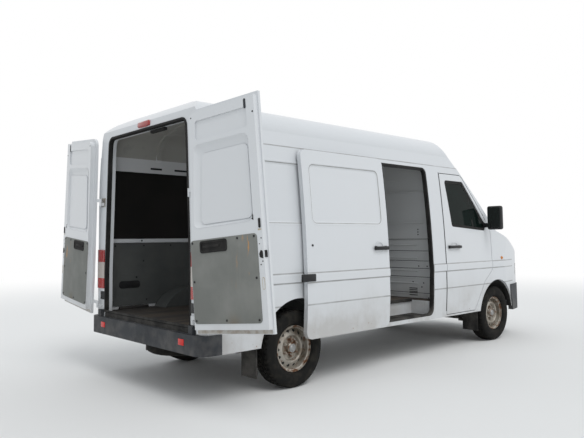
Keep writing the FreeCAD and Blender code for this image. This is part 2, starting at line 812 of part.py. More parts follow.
def rear_leaf(side):
    """One rear door, closed: an outer skin that laps the frame and an inner box that fills the opening."""
    def half(solid, middle):
        y0, y1 = sorted((side * middle, side * WIDE))
        return solid.common(slab(rear_face - WIDE, rear_face + WIDE, y0, y1, 0, HIGH))

    sill = size("floor_top")
    lapped = rear_hole(size("rear_door_lap"), sill - size("rear_door_foot_lap"), rear_face - door_gap - skin,
                       rear_face - door_gap)
    filled = rear_hole(-door_gap - size("rear_box_play"), sill + size("rear_box_rise"), rear_face - door_gap,
                       rear_face + plug)
    outer_skin, box = half(lapped, 3), half(filled, 14)
    free, low = size("door_pocket_edge"), size("rear_opening_half - door_pocket_hinge_edge")
    high = size("rear_opening_head_half") - 49
    pocket_low, pocket_high = size("door_pocket_low"), size("seam_height - door_pocket_head_drop")
    pocket_floor = rear_face + plug - size("door_pocket_depth")
    pocket = end_prism([(side * y, z) for y, z in ((free, pocket_low), (low, pocket_low), (high, pocket_high),
                                                   (free, pocket_high))], pocket_floor, rear_face + plug + 30, 55)
    raised = end_prism([(side * y, z) for y, z in ((free + 19, pocket_low + 27), (low - 70, pocket_low + 27),
                                                   (high - 70, pocket_high - 76), (free + 19, pocket_high - 76))],
                       pocket_floor - 5, pocket_floor + size("door_panel_rise"), 45)
    top_low, top_high = pocket_high + 40, size("rear_opening_head") - 90
    top = [(free, top_low), (high - 20, top_low), (high - 30, top_high), (free, top_high)]
    top_pocket = end_prism([(side * y, z) for y, z in top], rear_face + plug - 12, rear_face + plug + 30, 22)
    return outer_skin.multiFuse([box.cut(pocket).cut(top_pocket), raised]).removeSplitter()


def hinge_part(side, height, up, reach_y, x0, x1):
    """Half a hinge: a knuckle on the hinge line and the leaf that joins it to what it carries."""
    base = on_hinge(side, height)
    way = hinge_line(side)[1]
    start = base + way * (play / 2 if up > 0 else -leaf_high - play / 2)
    roll = Part.makeCylinder(knuckle, leaf_high, start, way)
    z0 = start.z + 2
    y0, y1 = sorted((base.y, reach_y))
    plate = slab(x0, x1, y0, y1, z0, z0 + leaf_high - 4)
    return roll.fuse(plate)


hinge_heights = (size("hinge_low"), size("hinge_high"))
for word, side in (("left", 1), ("right", -1)):
    leaf = rear_leaf(side)
    for height in hinge_heights:
        edge = side * (size("rear_opening_half") - 20)
        leaf = leaf.fuse(hinge_part(side, height, 1, edge, hinge_x - 4, hinge_x + size("rear_hinge_out")))
    point, way = hinge_line(side)
    leaf.rotate(point, way, -side * size(f"rear_{word}_open"))
    feature(f"rear_{word}_door", largest(leaf))

for side, panel in ((1, "left"), (-1, "right")):
    item = doc.getObject(f"{panel}_side_panel")
    body_leaves = item.Shape
    for height in hinge_heights:
        y = on_hinge(side, height).y
        body_leaves = body_leaves.fuse(hinge_part(side, height, -1, y + side * 6, hinge_x, rear_face + 6))
        base = on_hinge(side, height)
        arm = slab(hinge_x, rear_face + 6, min(base.y - 8, base.y + 8), max(base.y - 8, base.y + 8),
                   base.z - leaf_high + 2, base.z - 3)
        body_leaves = body_leaves.fuse(arm)
    item.Shape = largest(body_leaves.removeSplitter())

# Sliding door, slid back and out from its doorway
slide_wall = size("slide_wall")
slide_prism = side_prism([(slide_rear, slide_low), (slide_front, slide_low),
                          (slide_front, slide_high), (slide_rear, slide_high)], -WIDE, 0,
                         size("slide_corner"))
recess = recess_prism(slide_rear + margin, slide_front - margin)
pressed = moved(outer, 0, size("recess_depth"))
hollow = moved(outer, 0, slide_wall)
slide_core = largest(slide_prism.common(pressed).cut(hollow))
slide_skin = slide_prism.cut(recess).common(outer).cut(hollow)
slide_door = largest(slide_core.fuse(slide_skin))
slide_door.translate(Vector(-size("slide_travel"), -size("slide_outset"), 0))
parked_front = slide_front - size("slide_travel")
parked_rear = slide_rear - size("slide_travel")
door_back = -(size("waist_half") - slide_wall + size("slide_outset"))
body_side = -(size("waist_half") + size("ridge_depth"))
ridge = size("ridge_low")
roller = slab(parked_rear - 22, parked_rear + 46, door_back - 20, body_side - play, ridge + 15, ridge + 46)
low_arm = slab(parked_front - 110, parked_front - 50, door_back - 10, -size("sill_half") + 85,
               slide_low + lap + 4, slide_low + lap + 20)
high_y = -(size("seam_half") + size("slide_outset") - slide_wall)
high_arm = slab(parked_front - 110, parked_front - 60, high_y - 14, -size("seam_half") + 54,
                slide_high - lap - play - 16, slide_high - lap - play)
feature("sliding_door", largest(slide_door.multiFuse([roller, low_arm, high_arm])))

# Floors, side step, partition and the boxes over the wheels
floor_top, floor_low = size("floor_top"), size("rail_top")
part_x = size("partition_x")
part_end = part_x + size("partition_thick")
sheet_thick = size("sheet_thick")
floor = inner.common(slab(rear_face, part_x, -WIDE, WIDE, floor_low, floor_top))
step_y = -(size("waist_half") - size("wall") - size("side_step_depth"))
step_x0, step_x1 = slide_rear + lap, slide_front - lap
floor = floor.cut(slab(step_x0, step_x1, -WIDE, step_y, floor_low - 10, floor_top + 10))
floor = floor.cut(arch(rear_axle, size("rear_arch_radius") + 8, size("arch_box_half"), WIDE))
floor = floor.cut(arch(rear_axle, size("rear_arch_radius") + 8, -WIDE, -size("arch_box_half")))
tread_top = slide_low + lap - 4
tread = inner.common(slab(step_x0 - 14, step_x1 + 14, -WIDE, step_y + 14, tread_top - sheet_thick, tread_top))
riser = slab(step_x0 - 14, step_x1 + 14, step_y, step_y + 14, tread_top - 2, floor_low + 4)
step_sides = [inner.common(slab(x - 14, x, -WIDE, step_y + 14, tread_top - sheet_thick, floor_low + 4))
              for x in (step_x0, step_x1 + 14)]
feature("floor_pan", largest(floor.multiFuse([tread, riser] + step_sides).removeSplitter()))

ply_top = size("ply_top")
ply = inner.common(slab(rear_face, part_x, -WIDE, WIDE, floor_top, ply_top))
ply = ply.fuse(slab(rear_face + 6, rear_face + frame_depth + 1, -size("rear_opening_half") + 6,
                    size("rear_opening_half") - 6, floor_top, ply_top)).removeSplitter()
ply = ply.cut(slab(step_x0, step_x1, -WIDE, step_y, floor_top, ply_top))
box_out = size("rear_arch_radius + 8 + arch_box_wall")
for side in (1, -1):
    y0, y1 = sorted((side * (size("arch_box_half") - 1), side * WIDE))
    ply = ply.cut(arch(rear_axle, box_out + 1, y0, y1))
feature("plywood_floor", largest(ply))

boxes = []
for side in (1, -1):
    y0, y1 = sorted((side * size("arch_box_half"), side * (size("waist_half") - size("wall"))))
    body = arch(rear_axle, box_out, y0, y1)
    wall_y = side * (size("arch_box_half") + size("arch_box_wall"))
    h0, h1 = sorted((wall_y, side * WIDE))
    hollow = arch(rear_axle, size("rear_arch_radius") + 8, h0, h1)
    boxes.append(largest(body.cut(hollow).common(slab(-LONG, LONG, -WIDE, WIDE, floor_top, HIGH)).common(inner)))
lining = slab(rear_face, part_x, 0, WIDE, ply_top + 30, size("lining_top"))
lining = lining.common(inner).cut(moved(inner, 0, -size("lining_thick")))
lining = largest(lining.cut(arch(rear_axle, box_out, 0, WIDE)))
feature("load_linings", boxes[0].fuse(lining).fuse(boxes[1]))

partition = inner.common(slab(part_x, part_end, -WIDE, WIDE, floor_low, HIGH))
light_low, light_high = size("waist_half") - 326, size("waist_half") - 366
light = end_prism([(-light_low, 1420), (light_low, 1420), (light_high, recess_high), (-light_high, recess_high)],
                  part_x - 5, part_x + 10, recess_corner)
rib_half = size("waist_half") - 296
ribs = [Part.makeCylinder(11, 2 * rib_half, Vector(part_x + 4, -rib_half, size("floor_top") + z), Vector(0, 1, 0))
        for z in (180, 330, 480, 630)]
feature("partition", largest(partition.cut(light).multiFuse(ribs).removeSplitter()))

house = size("front_house_radius")
cab_top, bulkhead_x = size("cab_floor_top"), size("bulkhead_x")
scuttle_top = screen_foot - 95
cab_floor = inner.common(slab(part_end, bulkhead_x, -WIDE, WIDE, cab_top - 30, cab_top))
bulkhead = inner.common(slab(bulkhead_x - sheet_thick, bulkhead_x, -WIDE, WIDE, cab_top - 30, scuttle_top))
scuttle = inner.common(slab(bulkhead_x - sheet_thick, bonnet_rear - gap - 2, -WIDE, WIDE, scuttle_top - sheet_thick,
                            scuttle_top))
scuttle = scuttle.cut(plates[0].multiFuse(plates[1:]))
house_y = size("rail_half + rail_width / 2") + 15
wells = []
for side in (1, -1):
    y0, y1 = sorted((side * house_y, side * WIDE))
    ring = arch(front_axle, house + 8, y0, y1)
    h0, h1 = sorted((side * (house_y + 8), side * WIDE))
    wells.append(ring.cut(arch(front_axle, house, h0, h1)).common(inner)
                 .common(slab(-LONG, LONG, -WIDE, WIDE, size("rail_low"), HIGH)))
    cab_floor = cab_floor.cut(ring)
    bulkhead = bulkhead.cut(ring)
doc.getObject("cab_shell").Shape = cab.multiFuse([cab_floor, bulkhead, scuttle] + wells).removeSplitter()

# Bumpers
sweep_x = front_axle + size("nose_sweep_centre")
sweep_radius = size("front_overhang - nose_sweep_centre")
bumper_low, bumper_high = size("front_bumper_foot"), size("front_bumper_head")
bumper_x0 = front_axle + size("nose_reach") - 525


def bumper_sweep(radius):
    """A round block whose front gives the bumper its bow."""
    return Part.makeCylinder(radius, bumper_high + 200, Vector(sweep_x, 0, 0), Vector(0, 0, 1))


bulk = across(rear_face, nose_end, -14, 0, bumper_low - 22).common(from_above(-14, rear_face, bumper_low - 22))
bulk = bulk.common(bumper_sweep(sweep_radius))
bulk = bulk.common(slab(bumper_x0, nose_end, -WIDE, WIDE, bumper_low, bumper_high))
core = from_above(50, rear_face, 0).common(bumper_sweep(sweep_radius - 80))
bumper = bulk.cut(envelope(0, 0, 0, 0, bumper_low - 22)).fuse(
    bulk.cut(core).common(slab(front_axle, nose_end, -WIDE, WIDE, bumper_low, size("sill_height"))))
bumper = largest(bumper.removeSplitter().cut(arch(front_axle, size("front_arch_radius") + 14, -WIDE, WIDE)))
feature("front_bumper", bumper)

rear_reach = size("rear_bumper_reach")
bar_low, bar_high = size("sill_height + rear_bumper_rise"), size("floor_top - rear_bumper_drop")
bar_half = size("bumper_half")
rear_bar = slab(rear_face - rear_reach, rear_face + 152, -bar_half, bar_half, bar_low, bar_high)
upright = [e for e in rear_bar.Edges if abs(e.tangentAt(e.FirstParameter).z) > 0.99
           and e.CenterOfMass.x < rear_face]
rear_bar = rear_bar.makeFillet(96, upright)
rear_bar = rear_bar.cut(outer)
horns = []
for side in (1, -1):
    y0, y1 = sorted((side * (size("rear_opening_half") + 28), side * (size("rear_opening_half") + 84)))
    horns.append(slab(rear_face - 36, rear_face, y0, y1, bar_high - 2, size("floor_top + horn_rise")))
feature("rear_bumper", largest(rear_bar.multiFuse(horns).removeSplitter()))

# Ladder frame, bound to the sheet
rails = pair("rails", block("rail", "rear_face + 90", "rail_half - rail_width / 2", "rail_low",
                            "rear_overhang + wheelbase + 530", "rail_width", "rail_depth"))
MEMBERS = ["rear_face + 130", "rear_axle - 300", "rear_axle + 760", "front_axle - 1850", "front_axle - 850"]
members = [block(f"member_{number}", x, "-rail_half", "rail_low", "60", "2 * rail_half", "rail_depth - 16")
           for number, x in enumerate(MEMBERS)]
ladder = joined("ladder", [rails] + members)
tow_holes = [rod(f"tow_hole_{number}", f"rear_face + {x}", y, "rail_low - 1", "tow_hole_radius", "61", "z")
             for number, (x, y) in enumerate((x, y) for x in ("130", "130 + tow_pitch")
                                             for y in ("rail_half", "-rail_half"))]
keep(cut("chassis_rails", ladder, joined("tow_holes", tow_holes)), "chassis_rails")

# Rear axle on leaf springs
tube = rod("axle_tube", "rear_axle", "-track / 2 + 100", "tyre_radius", "axle_tube_radius", "track - 200", "y")
ball = rod("axle_case", "rear_axle", "-95", "tyre_radius", "axle_case_radius", "190", "y")
nose_case = rod("axle_nose", "rear_axle", "0", "tyre_radius", "62", "265", "x")
drum = pair("drums", rod("drum", "rear_axle", "track / 2 - 146", "tyre_radius", "138", "66", "y"))
stub = pair("rear_stubs", rod("rear_stub", "rear_axle", "track / 2 - 90", "tyre_radius", "stub_radius", "118", "y"))
spring_shapes = []
for side in (1, -1):
    y = side * size("rail_half")
    ends = [Vector(rear_axle + x, y - 30, size("rail_low") - 42) for x in (-640, 640)]
    low = Vector(rear_axle, y - 30, size("tyre_radius + axle_tube_radius") + 4)
    thick = Vector(0, 0, 30)
    strip = face_of([Part.Arc(ends[0], low, ends[1]).toShape(), Part.makeLine(ends[1], ends[1] + thick),
                     Part.Arc(ends[0] + thick, low + thick, ends[1] + thick).toShape(),
                     Part.makeLine(ends[0] + thick, ends[0])]).extrude(Vector(0, 60, 0))
    hangers = [slab(e.x - 24, e.x + 24, e.y, e.y + 60, e.z + 8, size("rail_low")) for e in ends]
    saddle = slab(rear_axle - 60, rear_axle + 60, y - 34, y + 34, size("tyre_radius"), low.z + 40)
    spring_shapes.append(strip.multiFuse(hangers + [saddle]))
springs = doc.addObject("Part::Feature", "springs")
springs.Shape = spring_shapes[0].fuse(spring_shapes[1])
keep(joined("rear_axle", [tube, ball, nose_case, drum, stub, springs]), "rear_axle")

# Front suspension beam, knuckles that steer
beam = block("beam", "front_axle - 60", "30 - rail_half", "tyre_radius - 115", "120", "2 * rail_half - 60", "74")
posts = pair("posts", block("post", "front_axle - 45", "rail_half - rail_width / 2", "tyre_radius - 47",
                            "90", "rail_width", "rail_low - tyre_radius + 47"))
arms = pair("arms", block("arm", "front_axle - 34", "rail_half - 50", "tyre_radius - 143", "68",
                          "kingpin_half - rail_half + 50", "34"))
bosses = pair("bosses", rod("boss", "front_axle", "kingpin_half", "tyre_radius - 143", "32", "48 - running_gap", "z"))
keep(joined("front_axle_beam", [beam, posts, arms, bosses]), "front_axle_beam")

upright_box = block("upright", "front_axle - 42", "kingpin_half - 30", "tyre_radius - 95", "84", "62", "214")
carrier = rod("carrier", "front_axle", "kingpin_half + 20", "tyre_radius", "66", "30", "y")
front_stub = rod("front_stub", "front_axle", "kingpin_half + 45", "tyre_radius", "stub_radius",
                 "track / 2 + 28 - kingpin_half - 45", "y")
strut = rod("strut", "front_axle", "kingpin_half", "tyre_radius + 112", "27", "345", "z")
steer_arm = block("steer_arm", "front_axle - 190", "kingpin_half - 22", "tyre_radius - 43", "160", "36", "26")
knuckle_left = joined("left_knuckle", [upright_box, carrier, front_stub, strut, steer_arm])
keep(knuckle_left, "left_knuckle")
keep(mirrored("right_knuckle", knuckle_left), "right_knuckle")


def turned_body(name, outlines):
    """A solid of revolution about its own Z axis, from (radius, height) points bound to the sheet."""
    body = doc.addObject("PartDesign::Body", name)
    sketch = body.newObject("Sketcher::SketchObject", name + "_outline")
    plane = [f for f in body.Origin.OriginFeatures if f.Role == "XZ_Plane"][0]
    sketch.AttachmentSupport = (plane, [""])
    sketch.MapMode = "FlatFace"
    numbers = [(size(r), size(z)) for r, z in outlines]
    count = len(numbers)
    for number in range(count):
        a, b = numbers[number], numbers[(number + 1) % count]
        sketch.addGeometry(Part.LineSegment(Vector(*a, 0), Vector(*b, 0)), False)
    for number in range(count):
        sketch.addConstraint(Sketcher.Constraint("Coincident", number, 2, (number + 1) % count, 1))
    for number, (radius, height) in enumerate(outlines):
        for kind, text in (("DistanceX", radius), ("DistanceY", height)):
            index = sketch.addConstraint(Sketcher.Constraint(kind, -1, 1, number, 1, size(text)))
            sketch.setExpression(f"Constraints[{index}]", bound(text))
    turn = body.newObject("PartDesign::Revolution", name + "_turn")
    turn.Profile = sketch
    turn.ReferenceAxis = (sketch, ["V_Axis"])
    turn.Angle = 360
    return body


def drill_ring(body, name, radius, ring_radius, count):
    """A ring of round holes through a turned body, along its axis."""
    sketch = body.newObject("Sketcher::SketchObject", name + "_hole")
    plane = [f for f in body.Origin.OriginFeatures if f.Role == "XY_Plane"][0]
    sketch.AttachmentSupport = (plane, [""])
    sketch.MapMode = "FlatFace"
    sketch.addGeometry(Part.Circle(Vector(size(ring_radius), 0, 0), Vector(0, 0, 1), size(radius)), False)
    sketch.addConstraint(Sketcher.Constraint("PointOnObject", 0, 3, -1))
    for kind, text in (("DistanceX", ring_radius), ("Radius", radius)):
        ends = (-1, 1, 0, 3) if kind == "DistanceX" else (0,)
        index = sketch.addConstraint(Sketcher.Constraint(kind, *ends, size(text)))
        sketch.setExpression(f"Constraints[{index}]", bound(text))
    hole = body.newObject("PartDesign::Pocket", name + "_hole_cut")
    hole.Profile = sketch
    hole.Type = "ThroughAll"
    hole.Midplane = True
    ring = body.newObject("PartDesign::PolarPattern", name + "_hole_ring")
    ring.Originals = [hole]
    ring.Axis = (sketch, ["N_Axis"])
    ring.Angle = 360
    ring.setExpression("Occurrences", bound(count))
    body.Tip = ring


# Rims and tyres, each about its own axle with local Z pointing outwards
RIM_OUTLINE = [
    ("0", "-20"), ("0", "50"), ("40", "50"), ("47", "44"), ("50", "14"), ("rim_radius - 103", "14"),
    ("rim_radius - 92", "40"), ("rim_radius - 83", "47"), ("rim_radius - 74", "43"), ("rim_radius - 29", "16"),
    ("rim_radius - 22", "14"), ("rim_radius - 22", "rim_width / 2 - 16"),
    ("rim_radius - 6", "rim_width / 2 - 12"), ("rim_radius - 4", "rim_width / 2"), ("rim_radius", "rim_width / 2"),
    ("rim_radius", "rim_width / 2 - 12"), ("rim_radius - 16", "rim_width / 2 - 24"),
    ("rim_radius - 16", "24 - rim_width / 2"), ("rim_radius", "12 - rim_width / 2"),
    ("rim_radius", "-rim_width / 2"), ("rim_radius - 4", "-rim_width / 2"),
    ("rim_radius - 22", "14 - rim_width / 2"), ("rim_radius - 22", "4"), ("rim_radius - 33", "7"),
    ("rim_radius - 78", "35"), ("rim_radius - 86", "36"), ("rim_radius - 98", "2"), ("82", "2"), ("82", "-20"),
]
TYRE_OUTLINE = [
    ("rim_radius - 15", "rim_width / 2 - 25"), ("rim_radius + 1", "rim_width / 2 - 12"),
    ("rim_radius + 12", "tyre_width / 2 - 14"), ("rim_radius + 52", "tyre_width / 2"),
    ("tyre_radius - 34", "tyre_width / 2 - 6"), ("tyre_radius - 8", "tyre_width / 2 - 26"), ("tyre_radius", "62"),
    ("tyre_radius", "-62"), ("tyre_radius - 8", "26 - tyre_width / 2"), ("tyre_radius - 34", "6 - tyre_width / 2"),
    ("rim_radius + 52", "-tyre_width / 2"), ("rim_radius + 12", "14 - tyre_width / 2"),
    ("rim_radius + 1", "12 - rim_width / 2"), ("rim_radius - 15", "25 - rim_width / 2"),
]
WHEELS = [
    ("front_left", "front_axle", 1),
    ("front_right", "front_axle", -1),
    ("rear_left", "rear_axle", 1),
    ("rear_right", "rear_axle", -1),
]
for name, axle, side in WHEELS:
    outwards = Rotation(Vector(1, 0, 0), -90 * side)
    across_y = f"{side} * track / 2"
    rim_body = turned_body(name + "_rim_turned", RIM_OUTLINE)
    drill_ring(rim_body, name, "rim_hole_radius", "rim_radius - 52", "rim_hole_count")
    bore = rod(name + "_bore", "0", "0", "-30", "stub_radius + 0.05", "62", "z")
    rim = cut(name + "_rim", rim_body, bore)
    place(rim, axle, across_y, "tyre_radius", outwards)
    keep(rim, name + "_rim")
    tyre = turned_body(name + "_tyre", TYRE_OUTLINE)
    place(tyre, axle, across_y, "tyre_radius", outwards)
    keep(tyre, name + "_tyre")

SPARE_OUTLINE = [
    ("0", "-30"), ("0", "20"), ("150", "20"), ("rim_radius - 20", "-20"), ("rim_radius - 6", "70"),
    ("rim_radius + 12", "86"), ("rim_radius + 52", "92"), ("tyre_radius - 34", "88"), ("tyre_radius - 8", "74"),
    ("tyre_radius", "56"), ("tyre_radius", "-56"), ("tyre_radius - 8", "-74"), ("tyre_radius - 34", "-88"),
    ("rim_radius + 52", "-92"), ("rim_radius + 12", "-86"), ("rim_radius - 6", "-70"), ("rim_radius - 20", "-30"),
]
spare = turned_body("spare_wheel", SPARE_OUTLINE)
place(spare, "rear_axle - (rear_overhang + axle_case_radius) / 2", "0", "rail_low - 92", Rotation())
keep(spare, "spare_wheel")

# Engine, tank and exhaust below
engine = block("engine_block", "front_axle + 110", "-260", "rail_low - 70", "520", "520", "600")
gearbox = block("gearbox", "front_axle - 440", "-140", "rail_low - 80", "560", "280", "186")
shaft = doc.addObject("Part::Feature", "shaft")
shaft_start = Vector(rear_axle + 266.6, 0, hub)
shaft_end = Vector(front_axle - 438, 0, size("rail_low") - 38)
shaft.Shape = Part.makeCylinder(36, (shaft_end - shaft_start).Length, shaft_start, shaft_end - shaft_start)
keep(joined("engine", [engine, gearbox, shaft]), "engine")
tank = block("tank_box", "rear_axle + 900", "rail_half + rail_width / 2 + tank_play", "rail_top - 232", "640",
             "sill_half - wall - rail_half - rail_width / 2 - tank_play - 38", "232")
keep(tank, "fuel_tank")
silencer = rod("silencer", "front_axle - 2050", "140 - rail_half", "rail_low - 90", "80", "520", "x")
down_pipe = rod("down_pipe", "front_axle - 1540", "140 - rail_half", "rail_low - 90", "26", "900", "x")
strap = block("strap", "front_axle - 1650", "120 - rail_half", "rail_low - 30", "40", "40", "rail_depth + 30")
keep(joined("exhaust", [silencer, down_pipe, strap]), "exhaust")

# Mud flaps behind the wheels
FLAPS = [
    # name, low x, foot and top of the flap
    ("rear", "rear_axle - rear_arch_radius - 30", "150", "rail_top"),
    ("front", "front_axle - front_arch_radius - 40", "165", "rail_low"),
]
flaps = []
for name, x, foot, top in FLAPS:
    edge = "track / 2 - tyre_width / 2 + 2"
    sheet_low = block(f"{name}_flap", x, edge, foot, "8", "tyre_width - 7", f"sill_height - running_gap - {foot}")
    sheet_top = block(f"{name}_flap_top", x, edge, "sill_height - 20", "8", "150", f"{top} - sill_height + 20")
    flaps.append(pair(f"{name}_flaps", joined(f"{name}_flap_sheet", [sheet_low, sheet_top])))
keep(joined("mud_flaps", flaps), "mud_flaps")

# Cab inside
DASH = [
    # back from the bulkhead, up from the scuttle
    (16, -395), (150, -420), (250, -290), (235, -35), (120, 25), (16, 10),
]
dash_outline = [(bulkhead_x - back, scuttle_top + up) for back, up in DASH]
dash = side_prism(dash_outline, -WIDE, WIDE).common(inner)
column_way = Vector(-0.62, 0, 0.785)
wheel_centre = Vector(bulkhead_x - 430, size("waist_half - steering_inset"), size("steering_height"))
column = Part.makeCylinder(26, 330, wheel_centre - column_way * (60 + play + 330), column_way)
clear = slab(bulkhead_x - sheet_thick, nose_end, -WIDE, WIDE, 0, HIGH)
feature("dashboard", largest(dash.fuse(column.cut(clear)).removeSplitter()))
ring = Part.makeTorus(size("steering_radius"), 15, wheel_centre, column_way)
boss = Part.makeCylinder(38, 60, wheel_centre - column_way * 60, column_way)
spoke_way = [Vector(0, 1, 0), Vector(0, -1, 0), Vector(-0.785, 0, -0.62)]
spokes = [Part.makeCylinder(13, size("steering_radius") - 1, wheel_centre - column_way * 16, way)
          for way in spoke_way]
feature("steering_wheel", largest(ring.multiFuse([boss] + spokes)))


# Seats for the driver and two passengers
driver_y1 = size("waist_half - driver_inset")
driver_y0 = driver_y1 - size("driver_width")
SEATS = [
    # right and left side of each seat
    (driver_y0, driver_y1),
    (-size("waist_half - bench_inset"), driver_y0 - size("seat_gap")),
]
seat_x, seat_top = front_axle - 1050, cab_top + size("seat_height")
pad_low = seat_top - size("seat_pad")
seat_shapes = []
for y0, y1 in SEATS:
    base = slab(seat_x + 30, seat_x + 480, y0 + 30, y1 - 30, cab_top, pad_low)
    cushion = slab(seat_x, seat_x + 520, y0, y1, pad_low, seat_top)
    back = side_prism([(seat_x - 130, seat_top - 30), (seat_x + 60, seat_top - 30),
                       (seat_x - 10, seat_top + 580), (seat_x - 130, seat_top + 580)], y0, y1, 30)
    seat_shapes.append(largest(base.multiFuse([cushion, back]).removeSplitter()))
feature("cab_seats", Part.makeCompound(seat_shapes))

# Door mirrors
waist, stand = size("waist_half"), size("mirror_stand")
mirror_low = screen_foot + size("mirror_rise")
for word, side in (("left", 1), ("right", -1)):
    y0, y1 = sorted((side * (waist + stand), side * (waist + stand + size("mirror_width"))))
    housing = slab(door_front - 160, door_front - 84, y0, y1, mirror_low, mirror_low + size("mirror_height"))
    housing = housing.makeFillet(26, housing.Edges)
    a0, a1 = sorted((side * (waist - 61), side * (waist + stand + 20)))
    arm = slab(door_front - 150, door_front - 94, a0, a1, mirror_low + 28, mirror_low + 82).cut(outer)
    feature(f"{word}_mirror", largest(housing.fuse(arm).removeSplitter()))

os.makedirs("parts", exist_ok=True)
doc.recompute()
for item in parts:
    for object_state in item.State:
        if object_state in ("Invalid", "Error"):
            raise RuntimeError(f"{item.Label} failed")
    shape = item.Shape
    if shape.isNull() or not shape.isValid():
        raise RuntimeError(f"{item.Label} has no valid shape")
for item in parts:
    item.Shape.exportStep(os.path.join("parts", item.Label + ".step"))
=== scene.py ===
# %% [markdown]
# # A high-roof cargo van, dressed for a photograph
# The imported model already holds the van's construction: panels, doors on their hinges, wheels, seats.
# This lesson dresses it. It gives every panel a finish, and adds the small things that a maker fits last:
# rubber seals, handles, studs, lamps' colours, wheel nuts, tread, soft seats.
# The model is loaded first, because every later piece is placed against it.

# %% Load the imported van
import bmesh
import bpy
import json
import math
from mathutils import Matrix, Vector
from mathutils.bvhtree import BVHTree


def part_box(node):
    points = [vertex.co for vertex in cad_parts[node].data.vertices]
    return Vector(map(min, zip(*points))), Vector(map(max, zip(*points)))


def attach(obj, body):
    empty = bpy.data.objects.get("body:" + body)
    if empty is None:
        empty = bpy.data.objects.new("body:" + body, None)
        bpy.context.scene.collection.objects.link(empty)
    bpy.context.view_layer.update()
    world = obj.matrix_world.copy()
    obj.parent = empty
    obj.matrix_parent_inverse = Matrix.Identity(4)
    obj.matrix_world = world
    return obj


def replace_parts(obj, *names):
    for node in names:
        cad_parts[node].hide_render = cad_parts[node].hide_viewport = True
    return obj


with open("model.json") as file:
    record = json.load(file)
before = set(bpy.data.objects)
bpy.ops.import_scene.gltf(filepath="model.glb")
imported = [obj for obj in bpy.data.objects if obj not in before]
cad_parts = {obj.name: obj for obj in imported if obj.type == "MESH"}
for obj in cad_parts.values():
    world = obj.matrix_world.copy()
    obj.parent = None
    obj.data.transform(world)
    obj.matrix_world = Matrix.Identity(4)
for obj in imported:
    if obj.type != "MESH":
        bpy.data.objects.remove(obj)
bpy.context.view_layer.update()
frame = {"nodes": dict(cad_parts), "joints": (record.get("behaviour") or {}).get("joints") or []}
van = frame["nodes"]

# %% [markdown]
# ## Where things are
# The van's X runs forward, Y to the left and Z up, in metres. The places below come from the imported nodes
# where a node shows them, so that a piece still sits right when the van's sizes change.

# %% Measure the van
tyre_low, tyre_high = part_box("rear_left_tyre")
REAR_AXLE = (tyre_low.x + tyre_high.x) / 2
HUB = (tyre_low.z + tyre_high.z) / 2
TYRE_RADIUS = tyre_high.z - HUB
WHEEL_Y = (tyre_low.y + tyre_high.y) / 2
FRONT_AXLE = sum(corner.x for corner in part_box("front_left_tyre")) / 2
REAR_FACE = REAR_AXLE - 1.010
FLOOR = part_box("plywood_floor")[1].z
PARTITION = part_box("partition")[0].x
SLIDE_REAR, SLIDE_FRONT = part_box("sliding_door")[0].x + 0.022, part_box("sliding_door")[1].x
SLIDE_TRAVEL, SLIDE_OUT = 0.920, 0.070
FOLD, WAIST, SEAM = 0.733, 1.015, 2.158
SIDES = (("left", 1), ("right", -1))
print("axles", round(REAR_AXLE, 3), round(FRONT_AXLE, 3), "floor", round(FLOOR, 3))

# %% [markdown]
# ## Making pieces
# A piece starts as an empty bmesh, is built up from primitives by operators, and is then handed to
# `fitted`, which cleans it, turns it into an object, gives it its finish and makes it ride on a body of
# the van. Smooth shading with sharp edges kept at thirty-five degrees suits both pressed steel and rubber.

# %% Fit a piece, and round, push or hollow what it is made of
def fitted(bm, name, finish, body="van_body", sharp=35):
    """Turns a bmesh into a piece of the van. The finish is a material or a name from the shop's table."""
    bmesh.ops.remove_doubles(bm, verts=bm.verts, dist=1e-5)
    bmesh.ops.recalc_face_normals(bm, faces=bm.faces)
    mesh = bpy.data.meshes.new(name)
    bm.to_mesh(mesh)
    bm.free()
    mesh.materials.append(shop[finish] if isinstance(finish, str) else finish)
    mesh.shade_smooth()
    mesh.set_sharp_from_angle(angle=math.radians(sharp))
    piece = bpy.data.objects.new(name, mesh)
    bpy.context.scene.collection.objects.link(piece)
    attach(piece, body)
    return piece


def soften(bm, geom, size, steps=2, affect="EDGES"):
    """Rounds edges, or the corners of a flat outline."""
    bmesh.ops.bevel(bm, geom=geom, offset=size, segments=steps, affect=affect, profile=0.5, material=-1)


def flat_face(points, corner=0.0, steps=6):
    """A new bmesh with one face, whose corners are rounded."""
    own = bmesh.new()
    own.faces.new([own.verts.new(p) for p in points])
    if corner:
        soften(own, list(own.verts), corner, steps, "VERTICES")
    return own


def shift(bm, made, by):
    """Moves what an operator has just made."""
    verts = [v for v in made["geom"] if isinstance(v, bmesh.types.BMVert)]
    bmesh.ops.translate(bm, vec=Vector(by), verts=verts)


def push_faces(bm, by):
    """Pushes every face along a direction, and leaves walls behind."""
    shift(bm, bmesh.ops.extrude_face_region(bm, geom=list(bm.faces)), by)


def keep_rim(bm, width):
    """Insets the faces and takes the middle out, which leaves a band."""
    inside = list(bm.faces)
    bmesh.ops.inset_region(bm, faces=inside, thickness=width, use_even_offset=True, use_boundary=True)
    bmesh.ops.delete(bm, geom=inside, context="FACES")


def join(bm, own):
    """Adds one bmesh to another and lets it go."""
    mesh = bpy.data.meshes.new("joined")
    own.to_mesh(mesh)
    own.free()
    bm.from_mesh(mesh)
    bpy.data.meshes.remove(mesh)


print("fitting helpers ready")

# %% [markdown]
# ## Blocks, discs, plates and strips
# Nearly every fitting on a van is one of a few shapes: a moulded block, a round stud, a flat plate with
# rounded corners, or a bent strip. Each gets one helper, so that a fitting is a line with its real sizes.

